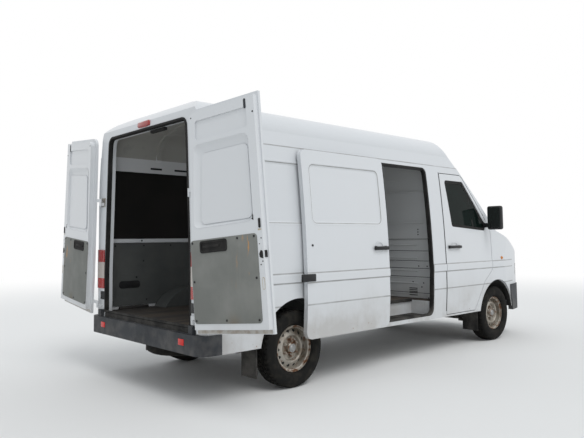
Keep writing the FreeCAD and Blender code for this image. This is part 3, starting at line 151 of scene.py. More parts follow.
# %% Add a block, a disc, a plate, a strip or a slope
def add_block(bm, low, high, edge=0.0, steps=2):
    """Adds a box between two corners, with rounded edges."""
    low, high = (Vector([pick(pair) for pair in zip(low, high)]) for pick in (min, max))
    place = Matrix.Translation((low + high) / 2) @ Matrix.Diagonal((*(high - low), 1))
    made = bmesh.ops.create_cube(bm, size=1, matrix=place)
    if edge:
        soften(bm, list({e for v in made["verts"] for e in v.link_edges}), edge, steps)


def add_disc(bm, middle, way, radius, depth, sides=24, top=None, edge=0.0):
    """Adds a round bar, stud or cone whose axis points along a direction."""
    turn = Vector(way).normalized().to_track_quat("Z", "Y").to_matrix().to_4x4()
    made = bmesh.ops.create_cone(bm, cap_ends=True, segments=sides, radius1=radius,
                                 radius2=radius if top is None else top, depth=depth,
                                 matrix=Matrix.Translation(Vector(middle)) @ turn)
    if edge:
        rims = [e for e in {e for v in made["verts"] for e in v.link_edges}
                if e.calc_face_angle(0) > 0.8 and any(len(f.verts) > 4 for f in e.link_faces)]
        soften(bm, rims, edge)


def add_stud(bm, middle, way, radius=0.010):
    """Adds a trim stud, a little narrower at its head."""
    add_disc(bm, middle, way, radius, 0.005, 16, radius - 0.003)


def add_plate(bm, outline, by, corner=0.0, rim=0.0, edge=0.0):
    """Adds a flat outline pushed to a thickness. With a rim, only a frame that wide is kept."""
    own = flat_face(outline, corner)
    if rim:
        keep_rim(own, rim)
    push_faces(own, by)
    bmesh.ops.recalc_face_normals(own, faces=own.faces)
    if edge:
        soften(own, [e for e in own.edges if e.calc_face_angle(0) > 1.2], edge)
    join(bm, own)


def add_tile(bm, axis, place, low, high, deep, corner, **more):
    """Adds a rectangular plate that faces along X or Y, between two corners of its plane."""
    flat = [low, (high[0], low[1]), high, (low[0], high[1])]
    if axis == "X":
        add_plate(bm, [(place, y, z) for y, z in flat], (deep, 0, 0), corner, **more)
    else:
        add_plate(bm, [(x, place, z) for x, z in flat], (0, deep, 0), corner, **more)


def add_strip(bm, section, by, thick):
    """Adds a bent sheet: a line of points pushed along a direction and given a thickness."""
    own = bmesh.new()
    verts = [own.verts.new(p) for p in section]
    edges = [own.edges.new(pair) for pair in zip(verts, verts[1:])]
    shift(own, bmesh.ops.extrude_edge_only(own, edges=edges), by)
    bmesh.ops.solidify(own, geom=list(own.faces), thickness=thick)
    join(bm, own)


def ring_points(own, axis):
    """The outline of a lone face in order from its lowest corner."""
    own.faces.ensure_lookup_table()
    places = [v.co.copy() for v in own.faces[0].verts]
    own.free()
    start = min(range(len(places)), key=lambda k: places[k][axis] + places[k].z * 1.001)
    return places[start:] + places[:start]


def add_slopes(bm, rings, thick):
    """Joins closed rings of points, each to the next, and gives the sheet a thickness."""
    rows = []
    for ring in rings:
        verts = [bm.verts.new(p) for p in ring]
        rows.append([bm.edges.new((verts[k - 1], verts[k])) for k in range(len(verts))])
    for first, second in zip(rows, rows[1:]):
        bmesh.ops.bridge_loops(bm, edges=first + second)
    bmesh.ops.solidify(bm, geom=list(bm.faces), thickness=thick)


def side_of_body(z):
    """How far the outer side panel stands from the middle plane at a height."""
    if z < FOLD:
        return 0.945 + 0.021 * (z - 0.405) / 0.328
    if z < WAIST:
        return 0.966 + (0.007 if 0.93 < z < 1.01 else 0)
    rise = (z - WAIST) / (SEAM - WAIST)
    return 0.966 - 0.086 * rise + 0.014 * (1 - (2 * rise - 1) ** 2)


print("shape helpers ready; body half-width at the waist", round(side_of_body(1.2), 3))

# %% [markdown]
# ## Finishes
# Every finish is a small tree of nodes that reads Object coordinates, so that it stays with its piece.
# A finish has three layers: the clean colour, what has settled or rubbed on it, and a fine bump.
# Sums of nodes are hard to read as nodes, so `Value` lets them be written as plain arithmetic.

# %% Arithmetic with nodes
def feed(tree, socket, value):
    """Links a worked-out value to a socket, or writes a plain one there."""
    if isinstance(value, Value):
        tree.links.new(value.socket, socket)
    elif isinstance(value, tuple) and len(value) == 3 and socket.type == "RGBA":
        socket.default_value = (*value, 1)
    else:
        socket.default_value = value


class Value:
    """A number or a colour that Blender works out at every point of a surface."""

    def __init__(self, tree, socket):
        self.tree, self.socket = tree, socket

    def maths(self, operation, other=0.0, clamp=False):
        node = self.tree.nodes.new("ShaderNodeMath")
        node.operation, node.use_clamp = operation, clamp
        feed(self.tree, node.inputs[0], self)
        feed(self.tree, node.inputs[1], other)
        return Value(self.tree, node.outputs[0])

    def __add__(self, other):
        return self.maths("ADD", other)

    def __sub__(self, other):
        return self.maths("SUBTRACT", other)

    def __mul__(self, other):
        return self.maths("MULTIPLY", other)

    def __pow__(self, other):
        return self.maths("POWER", other)

    def __lt__(self, other):
        return self.maths("LESS_THAN", other)

    def __gt__(self, other):
        return self.maths("GREATER_THAN", other)

    def __abs__(self):
        return self.maths("ABSOLUTE")

    def ease(self, low, high, to_low=0.0, to_high=1.0):
        """The value's place between two limits, smoothly, from 0 to 1 or to other ends."""
        node = self.tree.nodes.new("ShaderNodeMapRange")
        node.interpolation_type = "SMOOTHSTEP"
        feed(self.tree, node.inputs["Value"], self)
        for key, number in (("From Min", low), ("From Max", high), ("To Min", to_low), ("To Max", to_high)):
            node.inputs[key].default_value = number
        return Value(self.tree, node.outputs["Result"])


def most(values):
    """The greatest of several values."""
    result = values[0]
    for value in values[1:]:
        result = result.maths("MAXIMUM", value)
    return result


def away_from(dx, dz):
    """The distance across the van's side plane."""
    return (dx * dx + dz * dz).maths("SQRT")


print("node arithmetic ready")

# %% [markdown]
# `Finish` holds one material and the few textures that this van needs: a cloudy noise, a coordinate,
# the way that the surface faces, a mix of two colours and a bump.

# %% A finish and its textures
class Finish:
    """A material with its tree and its Principled shader."""

    def __init__(self, name, colour=(0.8, 0.8, 0.8), rough=0.5, metal=0.0):
        self.material = bpy.data.materials.new(name)
        self.material.use_nodes = True
        self.tree = self.material.node_tree
        self.shader = self.tree.nodes["Principled BSDF"]
        self.give({"Base Color": colour, "Roughness": rough, "Metallic": metal})

    def give(self, inputs):
        """Sets or links the shader's inputs."""
        for key, value in inputs.items():
            feed(self.tree, self.shader.inputs[key], value)

    def place(self, stretch=(1, 1, 1)):
        """Object coordinates, stretched."""
        place = self.tree.nodes.new("ShaderNodeTexCoord").outputs["Object"]
        if stretch == (1, 1, 1):
            return place
        mapping = self.tree.nodes.new("ShaderNodeMapping")
        mapping.inputs["Scale"].default_value = stretch
        self.tree.links.new(place, mapping.inputs["Vector"])
        return mapping.outputs["Vector"]

    def part(self, vector, axis):
        parts = self.tree.nodes.new("ShaderNodeSeparateXYZ")
        self.tree.links.new(vector, parts.inputs[0])
        return Value(self.tree, parts.outputs[axis])

    def along(self, axis):
        """One Object coordinate."""
        return self.part(self.place(), axis)

    def facing(self, axis):
        """How far the surface faces along an axis."""
        return self.part(self.tree.nodes.new("ShaderNodeNewGeometry").outputs["Normal"], axis)

    def cloud(self, scale, detail=4.0, stretch=(1, 1, 1)):
        """A cloudy noise between 0 and 1."""
        node = self.tree.nodes.new("ShaderNodeTexNoise")
        for key, number in (("Scale", scale), ("Detail", detail), ("Roughness", 0.55)):
            node.inputs[key].default_value = number
        self.tree.links.new(self.place(stretch), node.inputs["Vector"])
        return Value(self.tree, node.outputs["Fac"])

    def mix(self, factor, first, second, kind="MIX"):
        node = self.tree.nodes.new("ShaderNodeMix")
        node.data_type, node.blend_type = "RGBA", kind
        for place, value in ((0, factor), (6, first), (7, second)):
            feed(self.tree, node.inputs[place], value)
        return Value(self.tree, node.outputs[2])

    def bump(self, height, strength, distance):
        node = self.tree.nodes.new("ShaderNodeBump")
        node.inputs["Strength"].default_value = strength
        node.inputs["Distance"].default_value = distance
        feed(self.tree, node.inputs["Height"], height)
        self.tree.links.new(node.outputs["Normal"], self.shader.inputs["Normal"])


print("finish helpers ready")

# %% [markdown]
# ## White paint with road dirt
# The body is white gloss paint, gone slightly matt with age. Road spray lies thickest on the sills and
# fades out below the waist line, with fine runs down the sides. Rust shows in specks on the lowest edge,
# and thin dark lines of painted shade mark the folds of the sides and the seam of the roof.

# %% White paint
WHITE = (0.655, 0.675, 0.695)
HAZE = (0.62, 0.62, 0.60)
DUST = (0.36, 0.335, 0.30)
RUST = (0.24, 0.095, 0.035)
# The grey of the painted shade lines in the folds and in the roof's seam.
FOLD_SHADE = (0.17, 0.165, 0.155)
CREASES = (FOLD, 0.928, 1.014, SEAM)


def crease_shade(paint):
    """Fine lines of painted shade along the folds of the sides and along the roof's seam."""
    height = paint.along("Z")
    lines = most([abs(height - fold).ease(0.0090, 0.0035) for fold in CREASES])
    uneven = paint.cloud(5.0, 3.0).ease(0.25, 0.6, 0.6, 1.0)
    sideways = abs(paint.facing("Y")) > 0.55
    outside = abs(paint.along("Y")) > 0.84
    between_ends = abs(paint.along("X") - 0.1) < 2.25
    return lines * uneven * sideways * outside * between_ends


def paint_layers(paint, clean, with_fold_shade=True):
    """White paint under dust, runs and rust specks, with painted shade lines in the folds. Returns the
    colour.
    """
    height = paint.along("Z")
    low = height.ease(1.05, 0.38)
    patches = paint.cloud(3.0, 6.0).ease(0.38, 0.72)
    runs = paint.cloud(26.0, 4.0, (1, 1, 0.06)).ease(0.50, 0.78)
    dirt = (low ** 1.6).maths("MULTIPLY", patches + 0.34, clamp=True)
    dirt = dirt.maths("ADD", runs * (low * 0.22), clamp=True)
    colour = paint.mix(paint.cloud(1.7, 5.0).ease(0.35, 0.8) * 0.10, clean, HAZE)
    colour = paint.mix(dirt * 0.52, colour, DUST)
    specks = paint.cloud(34.0, 3.0).ease(0.69, 0.74) * height.ease(0.56, 0.42)
    colour = paint.mix(specks, colour, RUST)
    # Thin dark lines of painted shade along the folds of the sides and the roof's seam.
    if with_fold_shade:
        colour = paint.mix(crease_shade(paint) * 0.70, colour, FOLD_SHADE)
    paint.give({"Roughness": dirt * 0.45 + 0.30})
    paint.bump(paint.cloud(90.0, 2.0), 0.05, 0.001)
    return colour


def white_paint(name, clean=WHITE, with_fold_shade=True):
    paint = Finish(name)
    colour = paint_layers(paint, clean, with_fold_shade)
    paint.give({"Coat Weight": 0.35, "Coat Roughness": 0.12, "Base Color": colour})
    return paint.material


print("paint helpers ready")

# %% [markdown]
# Inside the load space the body's steel is white below the roof's seam and a mid grey above it, and in the
# cab it is trimmed in dark grey.
# A wall's inner face looks towards the van's middle, so the product of its place and its normal tells
# inside from outside. The wheel arches are black inside, within a circle round each axle.

# %% Body paint that knows inside from outside
# Inside, the roof's faces above the seam are a mid grey, darker than the white below it.
ROOF_INSIDE_GREY, SCUFF, CANT_RAIL = (0.38, 0.375, 0.35), (0.25, 0.25, 0.24), (0.66, 0.67, 0.68)
CAB_TRIM, ARCH_BLACK = (0.17, 0.175, 0.18), (0.018, 0.017, 0.016)


def body_paint(name):
    """White outside, white below the seam and mid grey above it in the load space, grey trim in the cab and
    black wheel arches.
    """
    paint = Finish(name)
    outside = paint_layers(paint, WHITE)
    x, y, z = (paint.along(axis) for axis in "XYZ")
    inside = paint.mix(paint.cloud(9.0, 6.0).ease(0.55, 0.75) * 0.5, ROOF_INSIDE_GREY, SCUFF)
    inside = paint.mix(z < SEAM + 0.02, inside, CANT_RAIL)
    inside = paint.mix(x > PARTITION + 0.02, inside, CAB_TRIM)
    upwards = (z - 1.4).maths("MAXIMUM", 0.0) * paint.facing("Z")
    inner = (y * paint.facing("Y") + upwards) < -0.12
    crossways = abs(paint.facing("X")) > 0.8
    bow_side = (z > 1.9) * (abs(y) < 0.80) * crossways * (x < PARTITION + 0.02)
    inner = inner.maths("MAXIMUM", bow_side) * (x > REAR_FACE + 0.071)
    reaches = ((REAR_AXLE, 0.424), (FRONT_AXLE, 0.52))
    arches = [away_from(x - axle, z - HUB) < reach for axle, reach in reaches]
    in_arch = most(arches) * (abs(y) < 0.925)
    paint.give({"Base Color": paint.mix(in_arch, paint.mix(inner, outside, inside), ARCH_BLACK)})
    return paint.material


BODY_PAINT = body_paint("white_body_paint")
SIDE_PAINT = white_paint("white_side_paint")
DOOR_PAINT = white_paint("white_door_paint", with_fold_shade=False)
PARTITION_PAINT = white_paint("grey_partition_paint", (0.56, 0.575, 0.58), with_fold_shade=False)
print("paint finishes made")

# %% [markdown]
# ## Plastics, rubber and bare metal
# The bumpers, mirrors and mud flaps are black or dark grey: moulded plastic has a fine grain and dries out
# to a paler grey, and rubber is matt with dust in its low places. They differ only in numbers, so one
# function reads them from a table.

# %% Plain finishes from one table
def dull(name, colour, faded, rough, grain, metal, patch, dusty):
    """A moulded or rubber surface: two shades in patches, a grain, and dust low down."""
    finish = Finish(name, colour, rough, metal)
    shade = finish.mix(finish.cloud(patch, 6.0).ease(0.35, 0.7), colour, faded)
    if dusty:
        low = finish.along("Z").ease(0.95, 0.25) * dusty
        shade = finish.mix(finish.cloud(7.0, 5.0).ease(0.35, 0.7) * low, shade, DUST)
    finish.give({"Base Color": shade})
    if not metal:
        finish.give({"Specular IOR Level": 0.28})
    finish.bump(finish.cloud(grain, 2.0), 0.25, 0.0006)
    return finish.material


DULL = [
    # name, colour, faded colour, roughness, grain, metal, patch, dust
    ("grey_bumper_plastic", (0.026, 0.029, 0.034), (0.038, 0.042, 0.048), 0.62, 260, 0, 3, 0.20),
    ("black_plastic", (0.012, 0.012, 0.013), (0.022, 0.023, 0.025), 0.42, 240, 0, 6, 0.15),
    ("black_rubber", (0.010, 0.010, 0.010), (0.024, 0.023, 0.022), 0.78, 120, 0, 9, 0.20),
    ("lining_board", (0.085, 0.090, 0.088), (0.115, 0.120, 0.116), 0.80, 60, 0, 2.2, 0.0),
    ("dark_board", (0.004, 0.0035, 0.003), (0.008, 0.0065, 0.0055), 0.60, 70, 0, 3, 0.0),
    ("chassis_black", (0.018, 0.017, 0.016), (0.055, 0.046, 0.038), 0.75, 40, 0, 6, 0.6),
    ("old_cast_iron", (0.050, 0.030, 0.020), (0.110, 0.062, 0.034), 0.85, 45, 0.2, 9, 0.3),
    ("cab_plastic", (0.045, 0.047, 0.052), (0.065, 0.067, 0.072), 0.60, 300, 0, 7, 0.0),
    ("exhaust_steel", (0.22, 0.19, 0.16), (0.13, 0.075, 0.045), 0.60, 60, 0.7, 8, 0.2),
    ("bare_metal", (0.42, 0.41, 0.39), (0.30, 0.27, 0.23), 0.40, 90, 0.85, 20, 0.0),
    ("rust_stain", (0.42, 0.33, 0.20), (0.62, 0.60, 0.55), 0.60, 90, 0, 30, 0.0),
    # A grey that is painted shade in the folds of the side pressings.
    ("fold_dirt", (0.30, 0.30, 0.29), (0.44, 0.44, 0.43), 0.60, 90, 0, 6, 0.0),
    ("hub_cap_silver", (0.24, 0.24, 0.235), (0.36, 0.36, 0.355), 0.42, 200, 0.5, 14, 0.0),
]
shop = {name: dull(name, *rest) for name, *rest in DULL}
print("plain finishes", len(shop))

# %% [markdown]
# ## Glass and lamps
# Window glass is a green tint that lets light through; the door windows' tint is made almost black, painted
# shade of the dim cab behind them. A low index of refraction weakens the mirror image of the white studio,
# which would else wash the dark windows out. The tail lamps are one moulding in three bands, so their colour
# follows the height, and fine ribs are added as a bump, with a little painted shade along each rib.

# %% Glass and lamp lenses
def glass(name, colour, rough=0.03, see=0.9, ior=1.45):
    finish = Finish(name, colour, rough)
    finish.give({"Transmission Weight": see, "IOR": ior})
    return finish.material


def banded_lens(name, bands):
    """A tail lamp whose colour changes with height: red, clear and red again, over ribs with a little painted
    shade along each.
    """
    finish = Finish(name, bands[0][1], 0.12)
    colour = bands[0][1]
    for top, shade in bands[1:]:
        colour = finish.mix(finish.along("Z") < top, colour, shade)
    ribs = (finish.along("Z") * 700.0).maths("SINE")
    # Each rib's colour is darkened a little: painted shade along the ribs.
    shade = finish.mix(ribs.ease(-0.4, 1.0, 0.0, 0.35), colour, (0.9, 0.9, 0.9), "MULTIPLY")
    finish.give({"Coat Weight": 0.8, "Base Color": shade})
    finish.bump(ribs, 0.25, 0.001)
    return finish.material


# The door windows' glass: dark green made almost black, a painted shade of the dim cab behind it.
WINDOW_GLASS = glass("shade_darkened_window_glass", (0.012, 0.022, 0.019), 0.03, 0.6, 1.17)
SCREEN_GLASS = glass("green_screen_glass", (0.24, 0.31, 0.28))
LENS_GLASS = glass("clear_lens", (0.86, 0.88, 0.88), 0.06)
TAIL_LENS = banded_lens("tail_lamp_lens", [
    (2.6, (0.34, 0.010, 0.008)), (1.105, (0.50, 0.45, 0.41)), (0.945, (0.40, 0.014, 0.008)),
])
RED_REFLECTOR = glass("red_reflector", (0.60, 0.02, 0.015), 0.2, 0.0)
AMBER_LENS = glass("amber_lens", (0.75, 0.26, 0.03), 0.15, 0.3)
LAMP_CHROME = Finish("lamp_chrome", (0.82, 0.83, 0.84), 0.12, 1.0).material
MIRROR_GLASS = Finish("mirror_glass", (0.30, 0.33, 0.33), 0.06, 1.0).material
print("glass finishes made")

# %% [markdown]
# ## Boards, steel wheels, tyres, plywood and cloth
# These carry the van's years of work. The doors' hardboard is scraped orange near its free edge. The
# wheels are silver paint over rust, strongest round the hub and at the rim, so the rust follows the
# distance from the axle. The floor is resin-faced ply, worn to wood along its grain.

# %% Worn finishes
def scraped_board(name):
    """Grey hardboard with orange scrapes near the doors' free edges and a brown stain at the foot."""
    board = Finish(name, (0.165, 0.170, 0.160), 0.75)
    height, sideways = board.along("Z"), abs(board.along("Y"))
    shade = board.mix(board.cloud(3.0, 6.0).ease(0.35, 0.7), (0.165, 0.172, 0.160), (0.215, 0.220, 0.205))
    smears = board.cloud(14.0, 3.0, (1, 1, 0.12)).ease(0.55, 0.8, 0.0, 0.35)
    shade = board.mix(smears, shade, (0.27, 0.27, 0.25))
    scrape = board.cloud(11.0, 5.0, (1, 2.6, 0.5)).ease(0.60, 0.68)
    scrape = scrape * sideways.ease(1.30, 1.52) * (height.ease(0.92, 1.10) * 0.8)
    shade = board.mix(scrape, shade, (0.50, 0.25, 0.07))
    drip = abs(sideways - 1.36).ease(0.09, 0.0) * height.ease(0.82, 0.68)
    board.give({"Base Color": board.mix(drip * 0.55, shade, (0.14, 0.095, 0.045))})
    board.bump(board.cloud(60.0, 2.0), 0.2, 0.0006)
    return board.material


def wheel_steel(name):
    """Silver paint with dust in patches, and rust near the hub and at the rim."""
    steel = Finish(name, (0.42, 0.42, 0.41), 0.45, 0.35)
    away = [abs(steel.along("X") - axle) for axle in (REAR_AXLE, FRONT_AXLE)]
    radius = away_from(away[0].maths("MINIMUM", away[1]), steel.along("Z") - HUB)
    wear = steel.cloud(22.0, 6.0)
    near_hub = radius.ease(0.13, 0.05) + radius.ease(0.165, 0.205)
    rust = (wear + near_hub * 0.17).ease(0.58, 0.78)
    clean = steel.mix(steel.cloud(8.0, 5.0).ease(0.4, 0.7), (0.40, 0.375, 0.33), (0.20, 0.165, 0.125))
    rusty = steel.mix(steel.cloud(60.0, 3.0), (0.20, 0.085, 0.032), (0.085, 0.040, 0.022))
    steel.give({"Base Color": steel.mix(rust, clean, rusty), "Roughness": rust * 0.4 + 0.42})
    steel.bump(wear + rust, 0.3, 0.0012)
    return steel.material


def tyre_rubber(name):
    """Dark rubber with brown dust in patches."""
    rubber = Finish(name, (0.017, 0.016, 0.015), 0.85)
    patches = rubber.cloud(16.0, 6.0).ease(0.42, 0.72) * 0.35
    shade = rubber.mix(patches, (0.0075, 0.0075, 0.007), (0.045, 0.039, 0.030))
    rubber.give({"Base Color": shade, "Specular IOR Level": 0.2})
    rubber.bump(rubber.cloud(140.0, 3.0), 0.3, 0.001)
    return rubber.material


def plywood(name):
    """Dark resin-faced ply, worn along its length to bare brown wood with grey dirt."""
    ply = Finish(name, (0.05, 0.045, 0.04), 0.7)
    grain = ply.cloud(16.0, 6.0, (0.09, 1.6, 1))
    worn = (ply.cloud(2.4, 5.0, (0.35, 1.6, 1)) * 0.6 + grain * 0.5).ease(0.48, 0.66)
    dark = ply.mix(ply.cloud(9.0, 6.0), (0.013, 0.012, 0.012), (0.040, 0.037, 0.034))
    wood = ply.mix(grain, (0.060, 0.046, 0.036), (0.150, 0.115, 0.080))
    ply.give({"Base Color": ply.mix(worn * 0.60, dark, wood)})
    ply.bump(grain, 0.35, 0.002)
    return ply.material


def seat_cloth(name):
    """Dark grey cloth with a woven bump and a fleck."""
    cloth = Finish(name, (0.05, 0.055, 0.065), 0.95)
    weave = [(cloth.along(axis) * 2100.0).maths("SINE") for axis in "XYZ"]
    fleck = cloth.cloud(320.0, 2.0).ease(0.55, 0.68)
    cloth.give({"Base Color": cloth.mix(fleck, (0.040, 0.046, 0.060), (0.105, 0.115, 0.14)),
                "Sheen Weight": 0.25})
    cloth.bump(weave[0] * weave[1] + weave[2], 0.25, 0.0008)
    return cloth.material


DOOR_BOARD = scraped_board("scraped_door_board")
WHEEL_STEEL = wheel_steel("silver_wheel_steel")
TYRE_RUBBER = tyre_rubber("dusty_tyre_rubber")
PLYWOOD = plywood("worn_plywood")
SEAT_CLOTH = seat_cloth("dark_seat_cloth")
print("worn finishes made")

# %% [markdown]
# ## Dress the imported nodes
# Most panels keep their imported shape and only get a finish, from one table.

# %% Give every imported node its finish
NODE_FINISHES = {
    BODY_PAINT: ["high_roof", "left_side_panel", "right_side_panel", "cab_shell", "front_wings"],
    SIDE_PAINT: ["sliding_door", "front_left_door", "front_right_door"],
    DOOR_PAINT: ["bonnet", "rear_left_door", "rear_right_door", "floor_pan"],
    WINDOW_GLASS: ["front_left_door_glass", "front_right_door_glass"],
    SCREEN_GLASS: ["windscreen"],
    PARTITION_PAINT: ["partition"],
    LENS_GLASS: ["headlamps"],
    TAIL_LENS: ["rear_lamps"],
    PLYWOOD: ["plywood_floor"],
    SEAT_CLOTH: ["cab_seats"],
    WHEEL_STEEL: ["front_left_rim", "front_right_rim", "rear_left_rim", "rear_right_rim"],
    TYRE_RUBBER: ["front_left_tyre", "front_right_tyre", "rear_left_tyre", "rear_right_tyre", "spare_wheel"],
    shop["grey_bumper_plastic"]: ["front_bumper", "rear_bumper"],
    shop["black_plastic"]: ["grille", "left_mirror", "right_mirror"],
    shop["black_rubber"]: ["mud_flaps"],
    shop["lining_board"]: ["load_linings"],
    shop["chassis_black"]: ["chassis_rails", "fuel_tank", "front_axle_beam", "left_knuckle", "right_knuckle"],
    shop["old_cast_iron"]: ["rear_axle", "engine"],
    shop["cab_plastic"]: ["dashboard", "steering_wheel"],
    shop["exhaust_steel"]: ["exhaust"],
}
for finish, names in NODE_FINISHES.items():
    for name in names:
        van[name].data.materials.clear()
        van[name].data.materials.append(finish)
print("nodes dressed", sum(len(names) for names in NODE_FINISHES.values()), "of", len(van))

# %% [markdown]
# ## The rear doors' inner sides
# Both doors stand open, so their inner sides face whoever stands behind the van. They are described
# closed, where a height and a distance from the middle are easy to read, and then swung open by the
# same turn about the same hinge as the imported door.

# %% Swing a closed-door piece open
hinge = {joint["name"]: joint for joint in frame["joints"]}
INNER = REAR_FACE + 0.040


def opened(word):
    """The turn that takes a rear door from closed to its parked place."""
    joint = hinge[f"rear_{word}_door_hinge"]
    there = Matrix.Translation(Vector(joint["pos_m"]))
    turn = Matrix.Rotation(-math.radians(joint["range_deg"][1]), 4, Vector(joint["axis"]))
    return there @ turn @ there.inverted()


def on_rear_door(bm, word, name, finish):
    """Fits a piece that was modelled on the closed left door, seen from behind the van."""
    if word == "right":
        bmesh.ops.scale(bm, vec=(1, -1, 1), verts=bm.verts)
    bm.transform(opened(word))
    return fitted(bm, f"{name}_{word}", finish, f"rear_{word}_door")


def yz(x, points):
    """Points given as (y, z) at one X."""
    return [(x, y, z) for y, z in points]


print("left door swings", hinge["rear_left_door_hinge"]["range_deg"][1], "degrees")

# %% [markdown]
# A pressed door has a deep pocket with sloping walls above, and a flat below that a hardboard sheet
# covers, held by studs. The slopes are rings of points between the pocket's outline and its floor's, each
# ring a share of the way in and a depth. The latch side has holes and slots, dark discs and tiles of painted
# shade, and a rusty recess.

# %% Boards, studs, handles and latches on the rear doors
POCKET = [(0.090, 1.392), (0.690, 1.392), (0.645, SEAM - 0.113), (0.090, SEAM - 0.113)]
PANEL = [(0.109, 1.419), (0.620, 1.419), (0.575, SEAM - 0.189), (0.109, SEAM - 0.189)]
far, near = (ring_points(flat_face(yz(INNER, outline), corner, 8), 1)
             for outline, corner in ((POCKET, 0.055), (PANEL, 0.045)))
SLOPE = [(0.0, 0.0012), (0.10, -0.0035), (0.35, -0.014), (0.75, -0.0215), (0.93, -0.0232)]  # share, height
POCKET_RINGS = [[a.lerp(b, share) + Vector((height, 0, 0)) for a, b in zip(far, near)]
                for share, height in SLOPE]
STUDS = [(0.092, 0.69), (0.71, 0.69), (0.092, 0.985), (0.71, 0.985), (0.092, 1.282), (0.71, 1.282),
         (0.40, 0.69), (0.25, 1.282)]
LATCH_PLATE = [(0.022, 1.118), (0.050, 1.126), (0.056, 1.150), (0.040, 1.178), (0.024, 1.170)]
LATCH_HOLES = [(0.030, 1.262, 0.005), (0.048, 1.222, 0.004), (0.028, 1.098, 0.005), (0.046, 1.075, 0.005),
               (0.030, 2.185, 0.007), (0.655, 2.268, 0.006), (0.100, 1.408, 0.005)]  # y, z, radius

for word, side in SIDES:
    bm = bmesh.new()
    add_tile(bm, "X", INNER, (0.066, 0.667), (0.732, 1.302), 0.0035, 0.03, edge=0.001)
    on_rear_door(bm, word, "door_board", DOOR_BOARD)

    bm = bmesh.new()
    for y, z in STUDS:
        add_stud(bm, (INNER + 0.005, y, z), (1, 0, 0))
    on_rear_door(bm, word, "board_studs", "black_plastic")

    bm = bmesh.new()
    add_tile(bm, "X", INNER + 0.0035, (0.354, 1.198), (0.629, 1.291), 0.006, 0.02, rim=0.018, edge=0.001)
    add_tile(bm, "X", INNER + 0.0035, (0.364, 1.208), (0.619, 1.281), 0.001, 0.015)
    add_block(bm, (INNER + 0.005, 0.43, 1.235), (INNER + 0.012, 0.60, 1.255), 0.003)
    on_rear_door(bm, word, "inner_handle", "black_rubber")

    bm = bmesh.new()
    add_block(bm, (INNER - 0.036, 0.008, 1.125), (INNER - 0.010, 0.016, 1.175), 0.002)
    add_plate(bm, yz(INNER, LATCH_PLATE), (0.003, 0, 0), 0.004)
    add_tile(bm, "X", INNER, (0.026, 1.335), (0.044, 1.405), 0.006, 0.008, edge=0.001)
    # Dark discs where the door has holes: painted shade seen through them.
    for y, z, radius in LATCH_HOLES:
        add_disc(bm, (INNER, y, z), (1, 0, 0), radius, 0.002, 14)
    add_block(bm, (INNER - 0.001, 0.088, 1.398), (INNER + 0.0015, 0.096, 1.436), 0.0005)
    on_rear_door(bm, word, "latch", "black_rubber")

    bm = bmesh.new()
    # A dark tile where the door has a slot near its top: painted shade seen through it.
    add_tile(bm, "X", INNER, (0.088, 2.222), (0.110, 2.298), 0.002, 0.010, edge=0.0008)
    on_rear_door(bm, word, "top_slot", "grey_bumper_plastic")

    bm = bmesh.new()
    add_slopes(bm, POCKET_RINGS, 0.0008)
    on_rear_door(bm, word, "pocket_slopes", DOOR_PAINT)

    bm = bmesh.new()
    add_tile(bm, "X", INNER - 0.0005, (0.022, 0.900), (0.046, 0.985), 0.002, 0.011, rim=0.004, edge=0.0008)
    add_tile(bm, "X", INNER - 0.0005, (0.022, 1.318), (0.054, 1.330), 0.001, 0.003)
    on_rear_door(bm, word, "edge_recess", "rust_stain")

    bm = bmesh.new()
    add_tile(bm, "X", REAR_FACE - 0.006, (0.018, 0.590), (0.752, 0.616), 0.0007, 0.006)
    on_rear_door(bm, word, "foot_lip", "bare_metal")
print("rear doors dressed")

# %% [markdown]
# ## Seals round the openings
# A rubber seal grips the rear opening's edge all round. The outline is one face, its top corners are
# rounded by a vertex bevel, and an inset leaves only the band, which is then pushed to its width.

# %% Rear opening seal
def opening_outline(x, out):
    """The rear opening seen from behind, moved outwards by a margin."""
    half = [(0.748 + out, 0.613), (0.748 + out, 1.004), (0.694 + out, SEAM), (0.680 + out, 2.325 + out)]
    return yz(x, half + [(-y, z) for y, z in reversed(half)])


def opening_band(bm, x, out, wide, deep):
    """A band that follows the opening: its outer edge, its width and its depth."""
    own = flat_face(opening_outline(x, out))
    soften(own, [v for v in own.verts if v.co.z > SEAM + 0.05], 0.054 + out, 10, "VERTICES")
    keep_rim(own, wide)
    push_faces(own, (deep, 0, 0))
    join(bm, own)


bm = bmesh.new()
opening_band(bm, REAR_FACE - 0.0050, 0.020, 0.024, 0.0048)
opening_band(bm, REAR_FACE - 0.0050, -0.0003, 0.0034, 0.040)
print("rear seal", len(bm.faces), "faces")
fitted(bm, "rear_opening_seal", "black_rubber")

# %% [markdown]
# ## Fittings at the tail
# A rubber cover takes the knocks at the sill. The brake lamp sits in the middle above the doors, and a
# lamp for the load hangs from the header. Each pair of hinge plates is bolted to the corner posts.

# %% Sill cover, lamps and hinge plates
bm = bmesh.new()
add_block(bm, (REAR_FACE - 0.0042, -0.752, 0.540), (REAR_FACE + 0.004, 0.752, 0.602), 0.002)
add_block(bm, (REAR_FACE - 0.0042, -0.746, 0.598), (REAR_FACE + 0.050, 0.746, 0.6155), 0.003)
fitted(bm, "sill_cover", "black_rubber")

bm = bmesh.new()
add_block(bm, (REAR_FACE - 0.020, -0.104, 2.356), (REAR_FACE + 0.030, 0.104, 2.408), 0.014, 3)
fitted(bm, "high_brake_lamp", TAIL_LENS)

bm = bmesh.new()
add_block(bm, (REAR_FACE + 0.046, -0.270, 2.296), (REAR_FACE + 0.082, -0.020, 2.3265), 0.009, 3)
fitted(bm, "header_lamp", "black_rubber")

